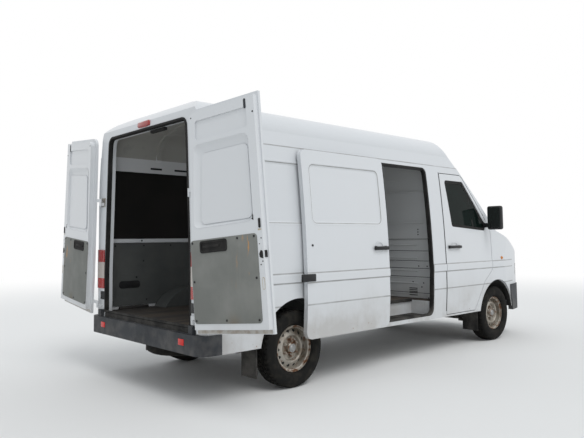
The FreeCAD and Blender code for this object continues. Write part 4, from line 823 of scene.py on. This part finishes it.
for name, z0, z1, finish in (("upper", 1.655, 1.745, "bare_metal"), ("lower", 0.735, 0.815, "black_plastic")):
    bm = bmesh.new()
    for side in (1, -1):
        add_block(bm, (REAR_FACE - 0.0050, side * 0.768, z0), (REAR_FACE + 0.001, side * 0.852, z1), 0.0015)
        for z in (z0 + 0.018, z1 - 0.018):
            add_disc(bm, (REAR_FACE - 0.0065, side * 0.835, z), (-1, 0, 0), 0.008, 0.004, 12)
    fitted(bm, f"{name}_hinge_plates", finish)
print("tail fittings made")

# %% [markdown]
# ## The side doorway
# The doorway's seal is made flat like the rear one, and is then bent onto the body's curved side. The
# step has a ribbed tread for muddy boots, the front post carries the lock's strikers, and the rail that
# guides the sliding door runs along the head.

# %% Side doorway seal, step treads, strikers and rail
STEP_X0, STEP_X1 = SLIDE_REAR + 0.942, SLIDE_REAR + 2.078
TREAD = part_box("floor_pan")[0].z + 0.016


def doorway_y(z, depth):
    """The Y of a place inside the right side's skin at a height."""
    return depth - side_of_body(z)


doorway = ((STEP_X0, 0.446), (STEP_X1, 0.446), (STEP_X1, 2.118), (STEP_X0, 2.118))
own = flat_face([(x, 0, z) for x, z in doorway], 0.075, 7)
keep_rim(own, 0.022)
upright = [e for e in own.edges if abs(e.verts[0].co.z - e.verts[1].co.z) > 0.5]
bmesh.ops.subdivide_edges(own, edges=upright, cuts=10)
push_faces(own, (0, 0.045, 0))
for v in own.verts:
    v.co.y += doorway_y(v.co.z, 0.004)
fitted(own, "side_doorway_seal", "black_rubber")

bm = bmesh.new()
add_block(bm, (STEP_X0 + 0.01, -0.88, TREAD), (STEP_X1 - 0.01, -0.66, TREAD + 0.006), 0.002)
for row in range(9):
    y = -0.865 + row * 0.024
    add_block(bm, (STEP_X0 + 0.03, y, TREAD + 0.005), (STEP_X1 - 0.03, y + 0.010, TREAD + 0.010), 0.002)
add_block(bm, (STEP_X0 + 0.01, -0.662, FLOOR - 0.030), (STEP_X1 - 0.01, -0.640, FLOOR + 0.004), 0.002)
fitted(bm, "step_treads", "black_rubber")

bm = bmesh.new()
for z, tall in ((1.66, 0.06), (1.59, 0.03), (1.30, 0.03), (1.13, 0.02), (0.80, 0.05)):
    add_block(bm, (STEP_X1 - 0.016, doorway_y(z, 0.052), z - tall / 2),
              (STEP_X1 - 0.001, doorway_y(z, 0.020), z + tall / 2), 0.003)
fitted(bm, "doorway_strikers", "black_plastic")

bm = bmesh.new()
add_block(bm, (STEP_X0 + 0.02, -0.872, 2.086), (STEP_X1 - 0.02, -0.842, 2.1175), 0.003)
fitted(bm, "doorway_rail", "black_plastic")
print("side doorway dressed")

# %% [markdown]
# ## The partition
# The steel wall behind the cab is stiffened by raised ribs, with a soft window-like frame above them.
# A thin dark strip along the top of each rib is a painted shadow, and the wall has a few holes and a small
# vent, shown as dark discs and slots of painted shade.

# %% Ribs, holes and vent on the partition
WALL = PARTITION + 0.007
RIBS = (1.290, 1.150, 1.033, 0.945, 0.845, 0.659)
WALL_HOLES = ((-0.685, 1.415), (-0.685, 1.385), (-0.685, 1.355), (-0.685, 0.985), (-0.721, 0.742),
              (-0.747, 0.790), (-0.60, 0.80), (-0.80, 0.985), (-0.81, 0.62))
bm = bmesh.new()
add_tile(bm, "X", PARTITION, (-0.825, 1.485), (-0.20, 1.875), -0.007, 0.05, rim=0.020, edge=0.00315)
for z in RIBS:
    add_block(bm, (WALL - 0.004, -0.868, z - 0.006), (WALL + 0.002, -0.12, z + 0.006), 0.0025)
fitted(bm, "partition_ribs", PARTITION_PAINT)

bm = bmesh.new()
# A dark strip along the top of each rib: a painted shadow.
for z in (rib + (0.012 if rib == RIBS[0] else 0.013) for rib in RIBS):
    add_block(bm, (WALL - 0.0012, -0.868, z - 0.0030), (WALL + 0.002, -0.12, z + 0.0030), 0.0005)
# Dark discs where the holes are, and dark slots for the vent: painted shade seen through them.
for y, z in WALL_HOLES:
    add_disc(bm, (WALL - 0.001, y, z), (-1, 0, 0), 0.008, 0.003, 14)
for z in (0.640 + 0.020 * k for k in range(5)):
    add_block(bm, (WALL - 0.003, -0.660, z), (WALL + 0.002, -0.545, z + 0.009), 0.001)
fitted(bm, "partition_hole_and_rib_shade", "black_rubber")
print("partition dressed")

# %% [markdown]
# ## The load space's walls
# The left wall carries a grey board below a white rail, and a dark sheet above it. They are bent sheets:
# the wall's section as a line of points, pushed forwards and given a thickness.

# %% Left wall sheets, rail and studs
WALL_X0, WALL_X1 = REAR_FACE + 0.12, PARTITION - 0.02


def wall_inside(z, gap=0.0):
    """The left wall's inner face at a height, less a gap."""
    return side_of_body(z) - 0.062 - gap


bm = bmesh.new()
section = [(WALL_X0, wall_inside(z, 0.004), z) for z in (1.335 + 0.07 * k for k in range(11))]
add_strip(bm, section, (WALL_X1 - WALL_X0, 0, 0), 0.003)
fitted(bm, "dark_wall_sheet", "dark_board")

rail_y = wall_inside(1.31)
bm = bmesh.new()
add_block(bm, (WALL_X0 - 0.02, rail_y - 0.014, 1.294), (WALL_X1, rail_y - 0.0005, 1.334), 0.003)
fitted(bm, "wall_rail", DOOR_PAINT)

WALL_STUDS = [(0.05 + 0.33 * k, 1.262) for k in range(6)]
WALL_STUDS += [(0.03, 1.0), (0.03, 0.69), (0.42, 0.69), (0.38, 1.10), (0.30, 0.93)]
bm = bmesh.new()
for k in range(5):
    add_stud(bm, (WALL_X0 + 0.35 + 0.6 * k, rail_y - 0.015, 1.314), (0, -1, 0), 0.011)
for x, z in WALL_STUDS:
    add_stud(bm, (WALL_X0 + x, wall_inside(z, 0.009), z), (0, -1, 0))
add_tile(bm, "Y", wall_inside(0.86, 0.0075), (WALL_X0 + 0.10, 0.82), (WALL_X0 + 0.34, 0.895), -0.003, 0.03,
         edge=0.001)
# Two dark tiles for the slots in the rail under the roof: painted shade seen through them.
for x0, x1 in ((0.42, 0.56), (0.72, 0.98)):
    add_tile(bm, "Y", wall_inside(2.085), (WALL_X0 + x0, 2.075), (WALL_X0 + x1, 2.095), -0.003, 0.006)
fitted(bm, "wall_studs", "black_plastic")

bm = bmesh.new()
add_block(bm, (REAR_AXLE - 0.48, 0.83, FLOOR), (REAR_FACE + 0.20, 0.865, FLOOR + 0.03), 0.003)
fitted(bm, "floor_batten", PLYWOOD)
print("load space dressed")

# %% [markdown]
# ## The pressings in the sides
# Window-like pressings stiffen the big side panels. The imported panel has the step; the soft lip and slope
# round it are rings of points laid on the body's curve, and a thin second sheet of darker grey is painted
# shade in the fold.

# %% Soft slopes round the window-like pressings
PRESSING_FOOT, PRESSING_HEAD, PRESSING_CORNER, PRESSING_EDGE = 1.455, SEAM - 0.148, 0.060, 0.088
LIP = ((-0.016, 0.0003), (-0.007, 0.0026), (0.0, 0.0006), (0.010, -0.0052), (0.024, -0.0086))  # inwards, out
# Rings of a thin darker sheet, painted shade in the pressing's fold: inwards, out.
FOLD_SHADE_RING = ((0.0030, -0.0008), (0.0095, -0.0042))


def side_loop(x0, x1, inwards, side, out):
    """A rounded rectangle laid on the curved side of the body, as a ring of points."""
    x0, x1 = x0 + inwards, x1 - inwards
    z0, z1 = PRESSING_FOOT + inwards, PRESSING_HEAD - inwards
    corners = ring_points(flat_face([(x0, 0, z0), (x1, 0, z0), (x1, 0, z1), (x0, 0, z1)],
                                    PRESSING_CORNER - inwards, 8), 0)
    places = []
    for here, there in zip(corners, corners[1:] + corners[:1]):
        steps = 8 if abs(there.z - here.z) > 0.2 else 1
        places += [here.lerp(there, k / steps) for k in range(steps)]
    return [Vector((p.x, side * (side_of_body(p.z) + out), p.z)) for p in places]


def pressing(name, x0, x1, side, stand=0.0):
    """A lip and a slope from the panel's face down to the pressing's floor, and painted shade in its fold."""
    sheets = (("", LIP, 0.0006, DOOR_PAINT), ("_dirt", FOLD_SHADE_RING, 0.0005, "fold_dirt"))
    for tail, levels, thick, finish in sheets:
        bm = bmesh.new()
        add_slopes(bm, [side_loop(x0, x1, inwards, side, out + stand) for inwards, out in levels], thick)
        fitted(bm, name + tail, finish, sharp=60)


rear_x0, rear_x1 = REAR_FACE + 0.088 + PRESSING_EDGE, SLIDE_REAR + SLIDE_TRAVEL - PRESSING_EDGE
door_x0, door_x1 = SLIDE_REAR + PRESSING_EDGE, SLIDE_FRONT - PRESSING_EDGE
pressing("slide_door_pressing", door_x0, door_x1, -1, SLIDE_OUT)
pressing("right_quarter_pressing", rear_x0, rear_x1, -1)
pressing("left_quarter_pressing", rear_x0, rear_x1, 1)
pressing("left_side_pressing", door_x0 + SLIDE_TRAVEL, door_x1 + SLIDE_TRAVEL, 1)
print("pressings softened")

# %% [markdown]
# ## Door gaps and handles
# A black strip in the gap behind each cab door is a painted shadow. The handles are bars that stand off a
# shallow dish, and a cover hides the roller that carries the sliding door's rear edge.

# %% Gap shadows and handles
gap_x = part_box("front_right_door")[0].x
heights = [0.47, 0.60, FOLD, 0.926] + [1.02 + 0.1 * k for k in range(11)] + [2.085]
# Thin black strips in the gaps behind the cab doors: painted shadows.
bm = bmesh.new()
for word, side in SIDES:
    section = [(gap_x - 0.020, side * (side_of_body(z) + 0.0003), z) for z in heights]
    add_strip(bm, section, (0.012, 0, 0), 0.0012)
fitted(bm, "door_gap_shadows", "black_rubber")


def slide_face(z, proud):
    """The Y of the slid-back door's face at a height, or of a place that stands proud of it."""
    return -(side_of_body(z) + SLIDE_OUT + proud)


handle_x0, handle_x1 = SLIDE_FRONT - 0.245, SLIDE_FRONT - 0.020
bm = bmesh.new()
add_tile(bm, "Y", slide_face(1.22, 0.0), (handle_x0 + 0.03, 1.155), (handle_x1 - 0.07, 1.285), -0.004, 0.055,
         rim=0.012, edge=0.001)
fitted(bm, "slide_handle_dish", DOOR_PAINT)
bm = bmesh.new()
add_block(bm, (handle_x0, slide_face(1.22, 0.030), 1.200),
          (handle_x1, slide_face(1.22, 0.008), 1.236), 0.009, 3)
for x in (handle_x0 + 0.02, handle_x1 - 0.05):
    add_block(bm, (x, slide_face(1.22, 0.012), 1.198), (x + 0.03, slide_face(1.22, -0.002), 1.240), 0.004)
add_block(bm, (SLIDE_REAR - 0.085, slide_face(0.97, 0.016), 0.939),
          (SLIDE_REAR + 0.089, slide_face(0.97, -0.004), 1.006), 0.008, 3)
add_disc(bm, (SLIDE_REAR + 0.075, slide_face(1.26, 0.002), 1.26), (0, -1, 0), 0.010, 0.006, 18)
fitted(bm, "slide_handle", "black_plastic")

skin = side_of_body(1.205)
for word, side in SIDES:
    door = f"front_{word}_door"
    bm = bmesh.new()
    add_tile(bm, "Y", side * (skin - 0.001), (0.80, 1.155), (0.93, 1.262), side * 0.004, 0.045, rim=0.010,
             edge=0.001)
    fitted(bm, f"door_handle_dish_{word}", DOOR_PAINT, door)
    bm = bmesh.new()
    add_block(bm, (0.725, side * (skin + 0.010), 1.190), (0.985, side * (skin + 0.032), 1.222), 0.008, 3)
    for x in (0.735, 0.945):
        add_block(bm, (x, side * (skin - 0.002), 1.188), (x + 0.03, side * (skin + 0.014), 1.224), 0.004)
    fitted(bm, f"door_handle_{word}", "black_plastic", door)
print("handles fitted")

# %% [markdown]
# ## Reflectors, repeaters and mirror glass
# Two red reflectors are let into the bumper, an amber lamp sits on each wing, and each mirror gets its
# silvered glass. All are small blocks, discs or plates seated on the piece that carries them.

# %% Bumper reflectors, repeaters and mirror glass
bm = bmesh.new()
for word, side in SIDES:
    add_block(bm, (REAR_FACE - 0.054, side * 0.655, 0.478), (REAR_FACE - 0.048, side * 0.735, 0.528), 0.002)
fitted(bm, "bumper_reflectors", RED_REFLECTOR)

REPEATER_X = 1.975
bm = bmesh.new()
for word, side in SIDES:
    add_disc(bm, (REPEATER_X, side * 0.967, 1.047), (0.05, side, 0), 0.022, 0.014, 24, 0.016)
bmesh.ops.scale(bm, vec=(1.4, 1, 1), space=Matrix.Translation((-REPEATER_X, 0, 0)), verts=bm.verts)
fitted(bm, "side_repeaters", AMBER_LENS)

for word, side in SIDES:
    low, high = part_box(f"{word}_mirror")
    y0, y1 = sorted((side * 1.012, side * 1.176))
    bm = bmesh.new()
    add_tile(bm, "X", low.x - 0.0015, (y0, low.z + 0.018), (y1, high.z - 0.018), 0.004, 0.03)
    fitted(bm, f"mirror_glass_{word}", MIRROR_GLASS, f"front_{word}_door")
print("lamps and mirrors dressed")

# %% [markdown]
# ## Seals round the glass
# The window seals follow curved glass. The glass node's outer faces are copied, an inset splits them into
# a rim and a middle, the middle goes, and the rim gets the rubber's thickness. A bar parts each door's
# small front quarter light from the window that winds down.

# %% Seals round the windscreen and the door windows
def glass_rim(node, way, width, thick, name, body="van_body"):
    """A rubber rim over the outer edge of a glass node that faces a given way."""
    bm = bmesh.new()
    bm.from_mesh(van[node].data)
    bmesh.ops.remove_doubles(bm, verts=bm.verts, dist=1e-4)
    bmesh.ops.delete(bm, geom=[f for f in bm.faces if f.normal.dot(Vector(way)) < 0.5], context="FACES")
    bmesh.ops.dissolve_limit(bm, angle_limit=math.radians(1.5), verts=bm.verts, edges=bm.edges)
    keep_rim(bm, width)
    bmesh.ops.translate(bm, vec=Vector(way) * thick * 0.5, verts=bm.verts)
    bmesh.ops.solidify(bm, geom=list(bm.faces), thickness=thick)
    fitted(bm, name, "black_rubber", body)


glass_rim("windscreen", (0.6, 0, 0.8), 0.045, 0.004, "windscreen_seal")
for word, side in SIDES:
    door = f"front_{word}_door"
    glass_rim(f"{door}_glass", (0, side, 0), 0.034, 0.008, f"window_seal_{word}", door)
for word, side in SIDES:
    door = f"front_{word}_door"
    low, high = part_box(f"{door}_glass")
    face = max(abs(low.y), abs(high.y))
    lean = (face - min(abs(low.y), abs(high.y))) / (high.z - low.z)
    points = [(1.338 - 0.160 * (z - 1.369), side * (face + 0.002 - lean * 0.86 * (z - low.z)), z)
              for z in (1.408 + 0.05 * k for k in range(10))]
    bm = bmesh.new()
    add_strip(bm, points, (0.026, 0, 0), 0.005)
    fitted(bm, f"quarter_light_bar_{word}", "black_rubber", door)
print("glass seals made")

# %% [markdown]
# ## Wipers, grille bars and lamp bowls
# These follow surfaces that curve two ways, so a ray is shot from ahead of the van to find where each
# point lies. An arm, a blade or a bar is then a chain of thin round rods through those points.

# %% Wipers, grille bars and lamp bowls
def front_of(node):
    """A function that finds a node's foremost point at a Y and a Z."""
    mesh = van[node].data
    tree = BVHTree.FromPolygons([v.co.copy() for v in mesh.vertices],
                                [tuple(f.vertices) for f in mesh.polygons])
    return lambda y, z: tree.ray_cast(Vector((4, y, z)), Vector((-1, 0, 0)))[0]


def add_rods(bm, places, thick):
    """Adds a chain of round rods through points."""
    for here, there in zip(places, places[1:]):
        add_disc(bm, (here + there) / 2, there - here, thick / 2, (there - here).length, 8)


on_glass, on_grille, on_lamp = front_of("windscreen"), front_of("grille"), front_of("headlamps")
screen_low, screen_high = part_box("windscreen")
SCREEN_OUT = Vector((0.65, 0, 0.76)).normalized()


def on_screen(y, up, proud):
    """A point just outside the windscreen: its Y, its share of the way up and how far it stands off."""
    for lift in (0, 0.02, 0.04, 0.06, 0.08):
        hit = on_glass(y, screen_low.z + (screen_high.z - screen_low.z) * (up + lift))
        if hit:
            return hit + SCREEN_OUT * proud


bm = bmesh.new()
for pivot, tip in ((-0.60, -0.02), (0.02, 0.58)):
    arm = [on_screen(pivot, 0.03, 0.016), on_screen(pivot + 0.10, 0.08, 0.022),
           on_screen((pivot + tip) / 2 + 0.05, 0.20, 0.016)]
    add_rods(bm, arm, 0.012)
    blade = [on_screen(pivot + 0.06 + (tip - pivot) * k / 6, 0.145 + 0.10 * k / 6, 0.007) for k in range(7)]
    add_rods(bm, blade, 0.010)
    add_disc(bm, arm[0], SCREEN_OUT, 0.020, 0.030, 16)
fitted(bm, "windscreen_wipers", "black_plastic")

grille_low, grille_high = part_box("grille")
bm = bmesh.new()
for k in range(1, 5):
    z = grille_low.z + (grille_high.z - grille_low.z) * k / 5
    hits = [on_grille(-0.44 + 0.88 * step / 12, z) for step in range(13)]
    add_rods(bm, [hit + Vector((0.001, 0, 0)) for hit in hits if hit], 0.008)
fitted(bm, "grille_bars", "grey_bumper_plastic")

lamp_low, lamp_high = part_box("headlamps")
bm = bmesh.new()
for word, side in SIDES:
    for y, radius in ((0.620, 0.058), (0.755, 0.050)):
        hit = on_lamp(side * y, (lamp_low.z + lamp_high.z) / 2)
        if hit:
            add_disc(bm, hit - Vector((0.040, 0, 0)), (1, 0, 0), radius * 0.5, 0.030, 28, radius)
fitted(bm, "lamp_bowls", LAMP_CHROME)
print("front dressed")

# %% [markdown]
# ## Padded seats
# A seat is two pads on a plain box: a cushion, and a back that rises behind it. Real pads swell between
# their seams, and that is hard to model by hand, so each pad starts as a slightly smaller block, gets an
# even skin of small faces by a voxel remesh, and is blown up by Blender's own cloth. The result is held
# within a cap, so that no pad swells into its neighbour. The sewn channels come last.

# %% Blow up a pad, and sew its channels
CLOTH_FRAMES = 20


def swollen(name, bm, cap):
    """Blows a closed shape up as cloth and gives back its mesh. No point moves further than the cap."""
    bmesh.ops.recalc_face_normals(bm, faces=bm.faces)
    mesh = bpy.data.meshes.new(name)
    bm.to_mesh(mesh)
    bm.free()
    pad = bpy.data.objects.new(name, mesh)
    bpy.context.scene.collection.objects.link(pad)
    skin = pad.modifiers.new("skin", "REMESH")
    skin.mode, skin.voxel_size = "VOXEL", 0.009
    even = bpy.data.meshes.new_from_object(pad.evaluated_get(bpy.context.evaluated_depsgraph_get()))
    pad.modifiers.clear()
    pad.data = even
    rest = [v.co.copy() for v in even.vertices]
    cloth = pad.modifiers.new("cloth", "CLOTH")
    cloth.settings.quality = 6
    cloth.settings.mass = 0.3
    cloth.settings.tension_stiffness = cloth.settings.compression_stiffness = 12
    cloth.settings.bending_stiffness = 0.6
    cloth.settings.use_pressure = True
    cloth.settings.uniform_pressure_force = 4.0
    cloth.settings.effector_weights.gravity = 0
    cloth.point_cache.frame_start, cloth.point_cache.frame_end = 1, CLOTH_FRAMES
    for step in range(1, CLOTH_FRAMES + 1):
        bpy.context.scene.frame_set(step)
    blown = bpy.data.meshes.new_from_object(pad.evaluated_get(bpy.context.evaluated_depsgraph_get()))
    places = [v.co.copy() for v in blown.vertices]
    bpy.data.meshes.remove(blown)
    for vertex, start, end in zip(even.vertices, rest, places):
        move = end - start
        if move.length > cap:
            move = move.normalized() * cap
        vertex.co = start + move
    bpy.context.scene.frame_set(1)
    bpy.data.objects.remove(pad)
    return even


def sewn(parts, channels, low, high):
    """One bmesh of swollen pads with sewn channels, kept inside a box."""
    bm = bmesh.new()
    for part in parts:
        bm.from_mesh(part)
        bpy.data.meshes.remove(part)
    for v in bm.verts:
        for axis, place, width, depth, way in channels:
            near = abs(v.co[axis] - place)
            if near < width and v.normal.dot(Vector(way)) > 0.3:
                v.co -= Vector(way) * depth * (1 - near / width) ** 0.6
        v.co = Vector(min(max(c, a), b) for c, a, b in zip(v.co, low, high))
    return bm


print("cloth helpers ready")

# %% [markdown]
# The driver has a seat alone, and two passengers share a bench, which is the same seat made wider with a
# deeper seam in its middle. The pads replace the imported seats' plain cushions.

# %% Seats for the driver and two passengers
UP, AHEAD = (0, 0, 1), (1, 0, 0)
seat_low, seat_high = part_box("cab_seats")
CAB_FLOOR, SEAT_TOP = seat_low.z, seat_high.z - 0.580
SEAT_X, PAD_LOW = seat_low.x + 0.130, SEAT_TOP - 0.160
SEATS = (("driver", seat_high.y - 0.500, seat_high.y), ("bench", seat_low.y, seat_high.y - 0.600))
for word, y0, y1 in SEATS:
    cushion, back = bmesh.new(), bmesh.new()
    add_block(cushion, (SEAT_X + 0.012, y0 + 0.014, PAD_LOW + 0.016),
              (SEAT_X + 0.506, y1 - 0.014, SEAT_TOP - 0.020), 0.035, 4)
    section = [(SEAT_X - 0.116, SEAT_TOP - 0.004), (SEAT_X + 0.044, SEAT_TOP - 0.004),
               (SEAT_X - 0.034, SEAT_TOP + 0.562), (SEAT_X - 0.116, SEAT_TOP + 0.562)]
    add_plate(back, [(x, y0 + 0.016, z) for x, z in section], (0, y1 - y0 - 0.032, 0), edge=0.028)

    # Each seam: its axis, its place there, its half width, its depth and the way that its face looks.
    seams = [(1, y, 0.010, 0.008, way) for way in (UP, AHEAD) for y in (y0 + 0.10, y1 - 0.10)]
    seams += [(0, SEAT_X + 0.36, 0.010, 0.006, UP), (2, SEAT_TOP + 0.40, 0.010, 0.006, AHEAD)]
    if word == "bench":
        seams += [(1, (y0 + y1) / 2, 0.012, 0.014, way) for way in (UP, AHEAD)]
    parts = [swollen(f"{word}_cushion", cushion, 0.020), swollen(f"{word}_back", back, 0.016)]
    bm = sewn(parts, seams, (SEAT_X - 0.130, y0, PAD_LOW), (SEAT_X + 0.520, y1, SEAT_TOP + 0.580))
    pads = fitted(bm, f"{word}_seat_pads", SEAT_CLOTH, sharp=60)
    smooth = pads.modifiers.new("smooth", "SUBSURF")
    smooth.levels = smooth.render_levels = 1

    bm = bmesh.new()
    add_block(bm, (SEAT_X + 0.030, y0 + 0.030, CAB_FLOOR),
              (SEAT_X + 0.480, y1 - 0.030, PAD_LOW + 0.004), 0.012)
    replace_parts(fitted(bm, f"{word}_seat_box", "cab_plastic"), "cab_seats")
    print(word, "seat pads", len(pads.data.polygons), "faces")

# %% [markdown]
# ## Tyres with tread
# A tyre is its section spun round the axle. The tread's blocks are cut afterwards: faces of the tread
# are inset and sunk, every second one, which leaves lugs between grooves.

# %% Spin the tyres and sink their grooves
WHEELS = (("front_left", FRONT_AXLE, 1), ("front_right", FRONT_AXLE, -1),
          ("rear_left", REAR_AXLE, 1), ("rear_right", REAR_AXLE, -1))
RIM_RADIUS, TYRE_STEPS = 0.205, 96
LUG_ROWS = ((0.072, 0.092), (0.048, 0.072), (0.006, 0.030))
WALL_SECTION = [(RIM_RADIUS + out, y) for out, y in (
    (-0.014, -0.052), (0.002, -0.066), (0.014, -0.090), (0.030, -0.100), (0.052, -0.1055), (0.075, -0.105))]
TREAD_SECTION = [(TYRE_RADIUS + out, y) for out, y in (
    (-0.040, -0.100), (-0.022, -0.094), (-0.010, -0.084), (-0.002, -0.070), (-0.0005, -0.046),
    (-0.009, -0.043), (-0.009, -0.035), (-0.0002, -0.032), (0.0, -0.006), (-0.009, -0.004))]


def is_lug(face):
    """Whether a face of the tread belongs to every second block of a row of lugs."""
    middle = face.calc_center_median()
    step = int((math.atan2(middle.z, middle.x) + math.pi) / (2 * math.pi) * TYRE_STEPS)
    in_row = any(low < abs(middle.y) < high for low, high in LUG_ROWS)
    outside = math.hypot(middle.x, middle.z) > TYRE_RADIUS - 0.013
    return outside and in_row and (step + (1 if middle.y > 0 else 0)) % 2 == 0


def tyre(word, axle_x, side):
    """A tyre with its tread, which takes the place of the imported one."""
    bm = bmesh.new()
    half = WALL_SECTION + TREAD_SECTION
    verts = [bm.verts.new((out, y, 0)) for out, y in half + [(out, -y) for out, y in reversed(half)]]
    edges = [bm.edges.new(pair) for pair in zip(verts, verts[1:])]
    bmesh.ops.spin(bm, geom=verts + edges, cent=(0, 0, 0), axis=(0, 1, 0), angle=2 * math.pi,
                   steps=TYRE_STEPS, use_merge=True)
    bmesh.ops.remove_doubles(bm, verts=bm.verts, dist=1e-5)
    bmesh.ops.recalc_face_normals(bm, faces=bm.faces)
    bmesh.ops.inset_individual(bm, faces=[f for f in bm.faces if is_lug(f)], thickness=0.0025, depth=-0.006,
                               use_even_offset=True)
    bmesh.ops.translate(bm, vec=(axle_x, side * WHEEL_Y, HUB), verts=bm.verts)
    piece = fitted(bm, f"{word}_treaded_tyre", TYRE_RUBBER, f"{word}_wheel", 30)
    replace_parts(piece, f"{word}_tyre")
    return piece


for wheel in WHEELS:
    made = tyre(*wheel)
print("tyres", len(made.data.polygons), "faces each")

# %% [markdown]
# ## Wheel nuts, holes and hub caps
# Six nuts sit on round seats, fourteen holes ring the disc, and a plain silver cap closes the hub. A hole
# in thin steel shows as black from the shade behind it, so a dark disc of painted shade that lies on the
# slope of the wheel is enough.

# %% Wheel nuts, rim holes and hub caps
NUTS, NUT_CIRCLE, HOLES, HOLE_CIRCLE = 6, 0.077, 14, 0.153
for word, axle_x, side in WHEELS:
    def add_round(bm, x, z, y, *sizes, **more):
        """Adds a disc on the wheel's outer face, at a place from the axle and a distance out."""
        add_disc(bm, (axle_x + x, side * (WHEEL_Y + y), HUB + z), (0, side, 0), *sizes, **more)

    bm = bmesh.new()
    for k in range(NUTS):
        turn = math.radians(60 * k + 30)
        x, z = NUT_CIRCLE * math.cos(turn), NUT_CIRCLE * math.sin(turn)
        add_round(bm, x, z, 0.016, 0.019, 0.005, 20)
        add_round(bm, x, z, 0.027, 0.0145, 0.020, 6, edge=0.0015)
        add_round(bm, x, z, 0.038, 0.007, 0.012, 12)
    fitted(bm, f"{word}_nuts", WHEEL_STEEL, f"{word}_wheel")

    bm = bmesh.new()
    # Black discs where the holes are: painted shade seen through them.
    for k in range(HOLES):
        turn = 2 * math.pi * k / HOLES
        out = Vector((math.cos(turn), 0, math.sin(turn)))
        middle = Vector((axle_x, side * (WHEEL_Y + 0.0283), HUB)) + out * HOLE_CIRCLE
        add_disc(bm, middle, out * 0.47 + Vector((0, side * 0.88, 0)), 0.0168, 0.0022, 18)
    fitted(bm, f"{word}_rim_hole_shadows", "black_rubber", f"{word}_wheel")

    bm = bmesh.new()
    add_round(bm, 0, 0, 0.053, 0.039, 0.006, 40, 0.036, edge=0.001)
    add_round(bm, 0, 0, 0.058, 0.028, 0.006, 40, 0.022, edge=0.001)
    fitted(bm, f"{word}_hub_cap", "hub_cap_silver", f"{word}_wheel")
print("wheels dressed")

# %% [markdown]
# ## Floor, light and camera
# A pale floor fades to white far away, so that no edge shows.

# %% Studio floor
floor_mesh = bmesh.new()
bmesh.ops.create_circle(floor_mesh, cap_ends=True, segments=96, radius=40)
mesh = bpy.data.meshes.new("studio_floor")
floor_mesh.to_mesh(mesh)
floor_mesh.free()
studio_floor = bpy.data.objects.new("studio_floor", mesh)
bpy.context.scene.collection.objects.link(studio_floor)

ground = Finish("studio_floor_grey", (0.78, 0.78, 0.77), 0.9)
tree = ground.tree
length = tree.nodes.new("ShaderNodeVectorMath")
length.operation = "LENGTH"
tree.links.new(ground.place(), length.inputs[0])
far_off = Value(tree, length.outputs["Value"]).ease(6.0, 16.0)
seen = Value(tree, tree.nodes.new("ShaderNodeLightPath").outputs["Is Camera Ray"])
glow = tree.nodes.new("ShaderNodeEmission")
blend = tree.nodes.new("ShaderNodeMixShader")
feed(tree, blend.inputs[0], far_off * seen)
tree.links.new(ground.shader.outputs[0], blend.inputs[1])
tree.links.new(glow.outputs[0], blend.inputs[2])
tree.links.new(blend.outputs[0], tree.nodes["Material Output"].inputs["Surface"])
mesh.materials.append(ground.material)
print("floor laid")

# %% [markdown]
# The light is a soft overcast sky with one broad sun from behind the camera's right shoulder. The sky is
# white where the camera, glass and metal see it, and a little blue and weaker where it lights the van.

# %% Sky and sun
world = bpy.data.worlds.new("overcast")
bpy.context.scene.world = world
world.use_nodes = True
tree = world.node_tree
sky = tree.nodes["Background"]
sky.inputs["Color"].default_value = (0.93, 0.965, 1.0, 1)
sky.inputs["Strength"].default_value = 0.72
white = tree.nodes.new("ShaderNodeBackground")
white.inputs["Color"].default_value = (1, 1, 1, 1)
path = tree.nodes.new("ShaderNodeLightPath")
direct = most([Value(tree, path.outputs[f"Is {kind} Ray"]) for kind in ("Camera", "Glossy", "Transmission")])
blend = tree.nodes.new("ShaderNodeMixShader")
feed(tree, blend.inputs[0], direct)
tree.links.new(sky.outputs[0], blend.inputs[1])
tree.links.new(white.outputs[0], blend.inputs[2])
tree.links.new(blend.outputs[0], tree.nodes["World Output"].inputs["Surface"])

sun = bpy.data.objects.new("soft_sun", bpy.data.lights.new("soft_sun", "SUN"))
sun.data.energy = 1.15
sun.data.angle = math.radians(35)
sun.rotation_euler = Vector((0.9, 5.2, -7.5)).to_track_quat("-Z", "Y").to_euler()
bpy.context.scene.collection.objects.link(sun)
bpy.context.scene.view_settings.view_transform = "Standard"
print("sun strength", sun.data.energy)

# %% [markdown]
# The camera stands where the photograph's stood: its place and turn were fitted to the van's known
# points. The small shift of the lens came out of the same fit.

# %% Camera fitted to the photograph
YAW, PITCH, ROLL = (math.radians(v) for v in (48.22, 3.88, -0.53))
ahead = Vector((math.cos(YAW) * math.cos(PITCH), math.sin(YAW) * math.cos(PITCH), math.sin(PITCH)))
right = ahead.cross(Vector((0, 0, 1))).normalized()
up = right.cross(ahead)
right, up = right * math.cos(ROLL) + up * math.sin(ROLL), up * math.cos(ROLL) - right * math.sin(ROLL)
camera = bpy.data.objects.new("photo_camera", bpy.data.cameras.new("photo_camera"))
place = Matrix((right, up, -ahead)).transposed().to_4x4()
place.translation = Vector((-5.4052, -4.8138, 1.3276))
camera.matrix_world = place
camera.data.sensor_width = 36
camera.data.lens = 36.64
camera.data.shift_x = 0.0279
camera.data.shift_y = -0.0362
bpy.context.scene.collection.objects.link(camera)
bpy.context.scene.camera = camera
print("camera at", [round(v, 2) for v in place.translation])
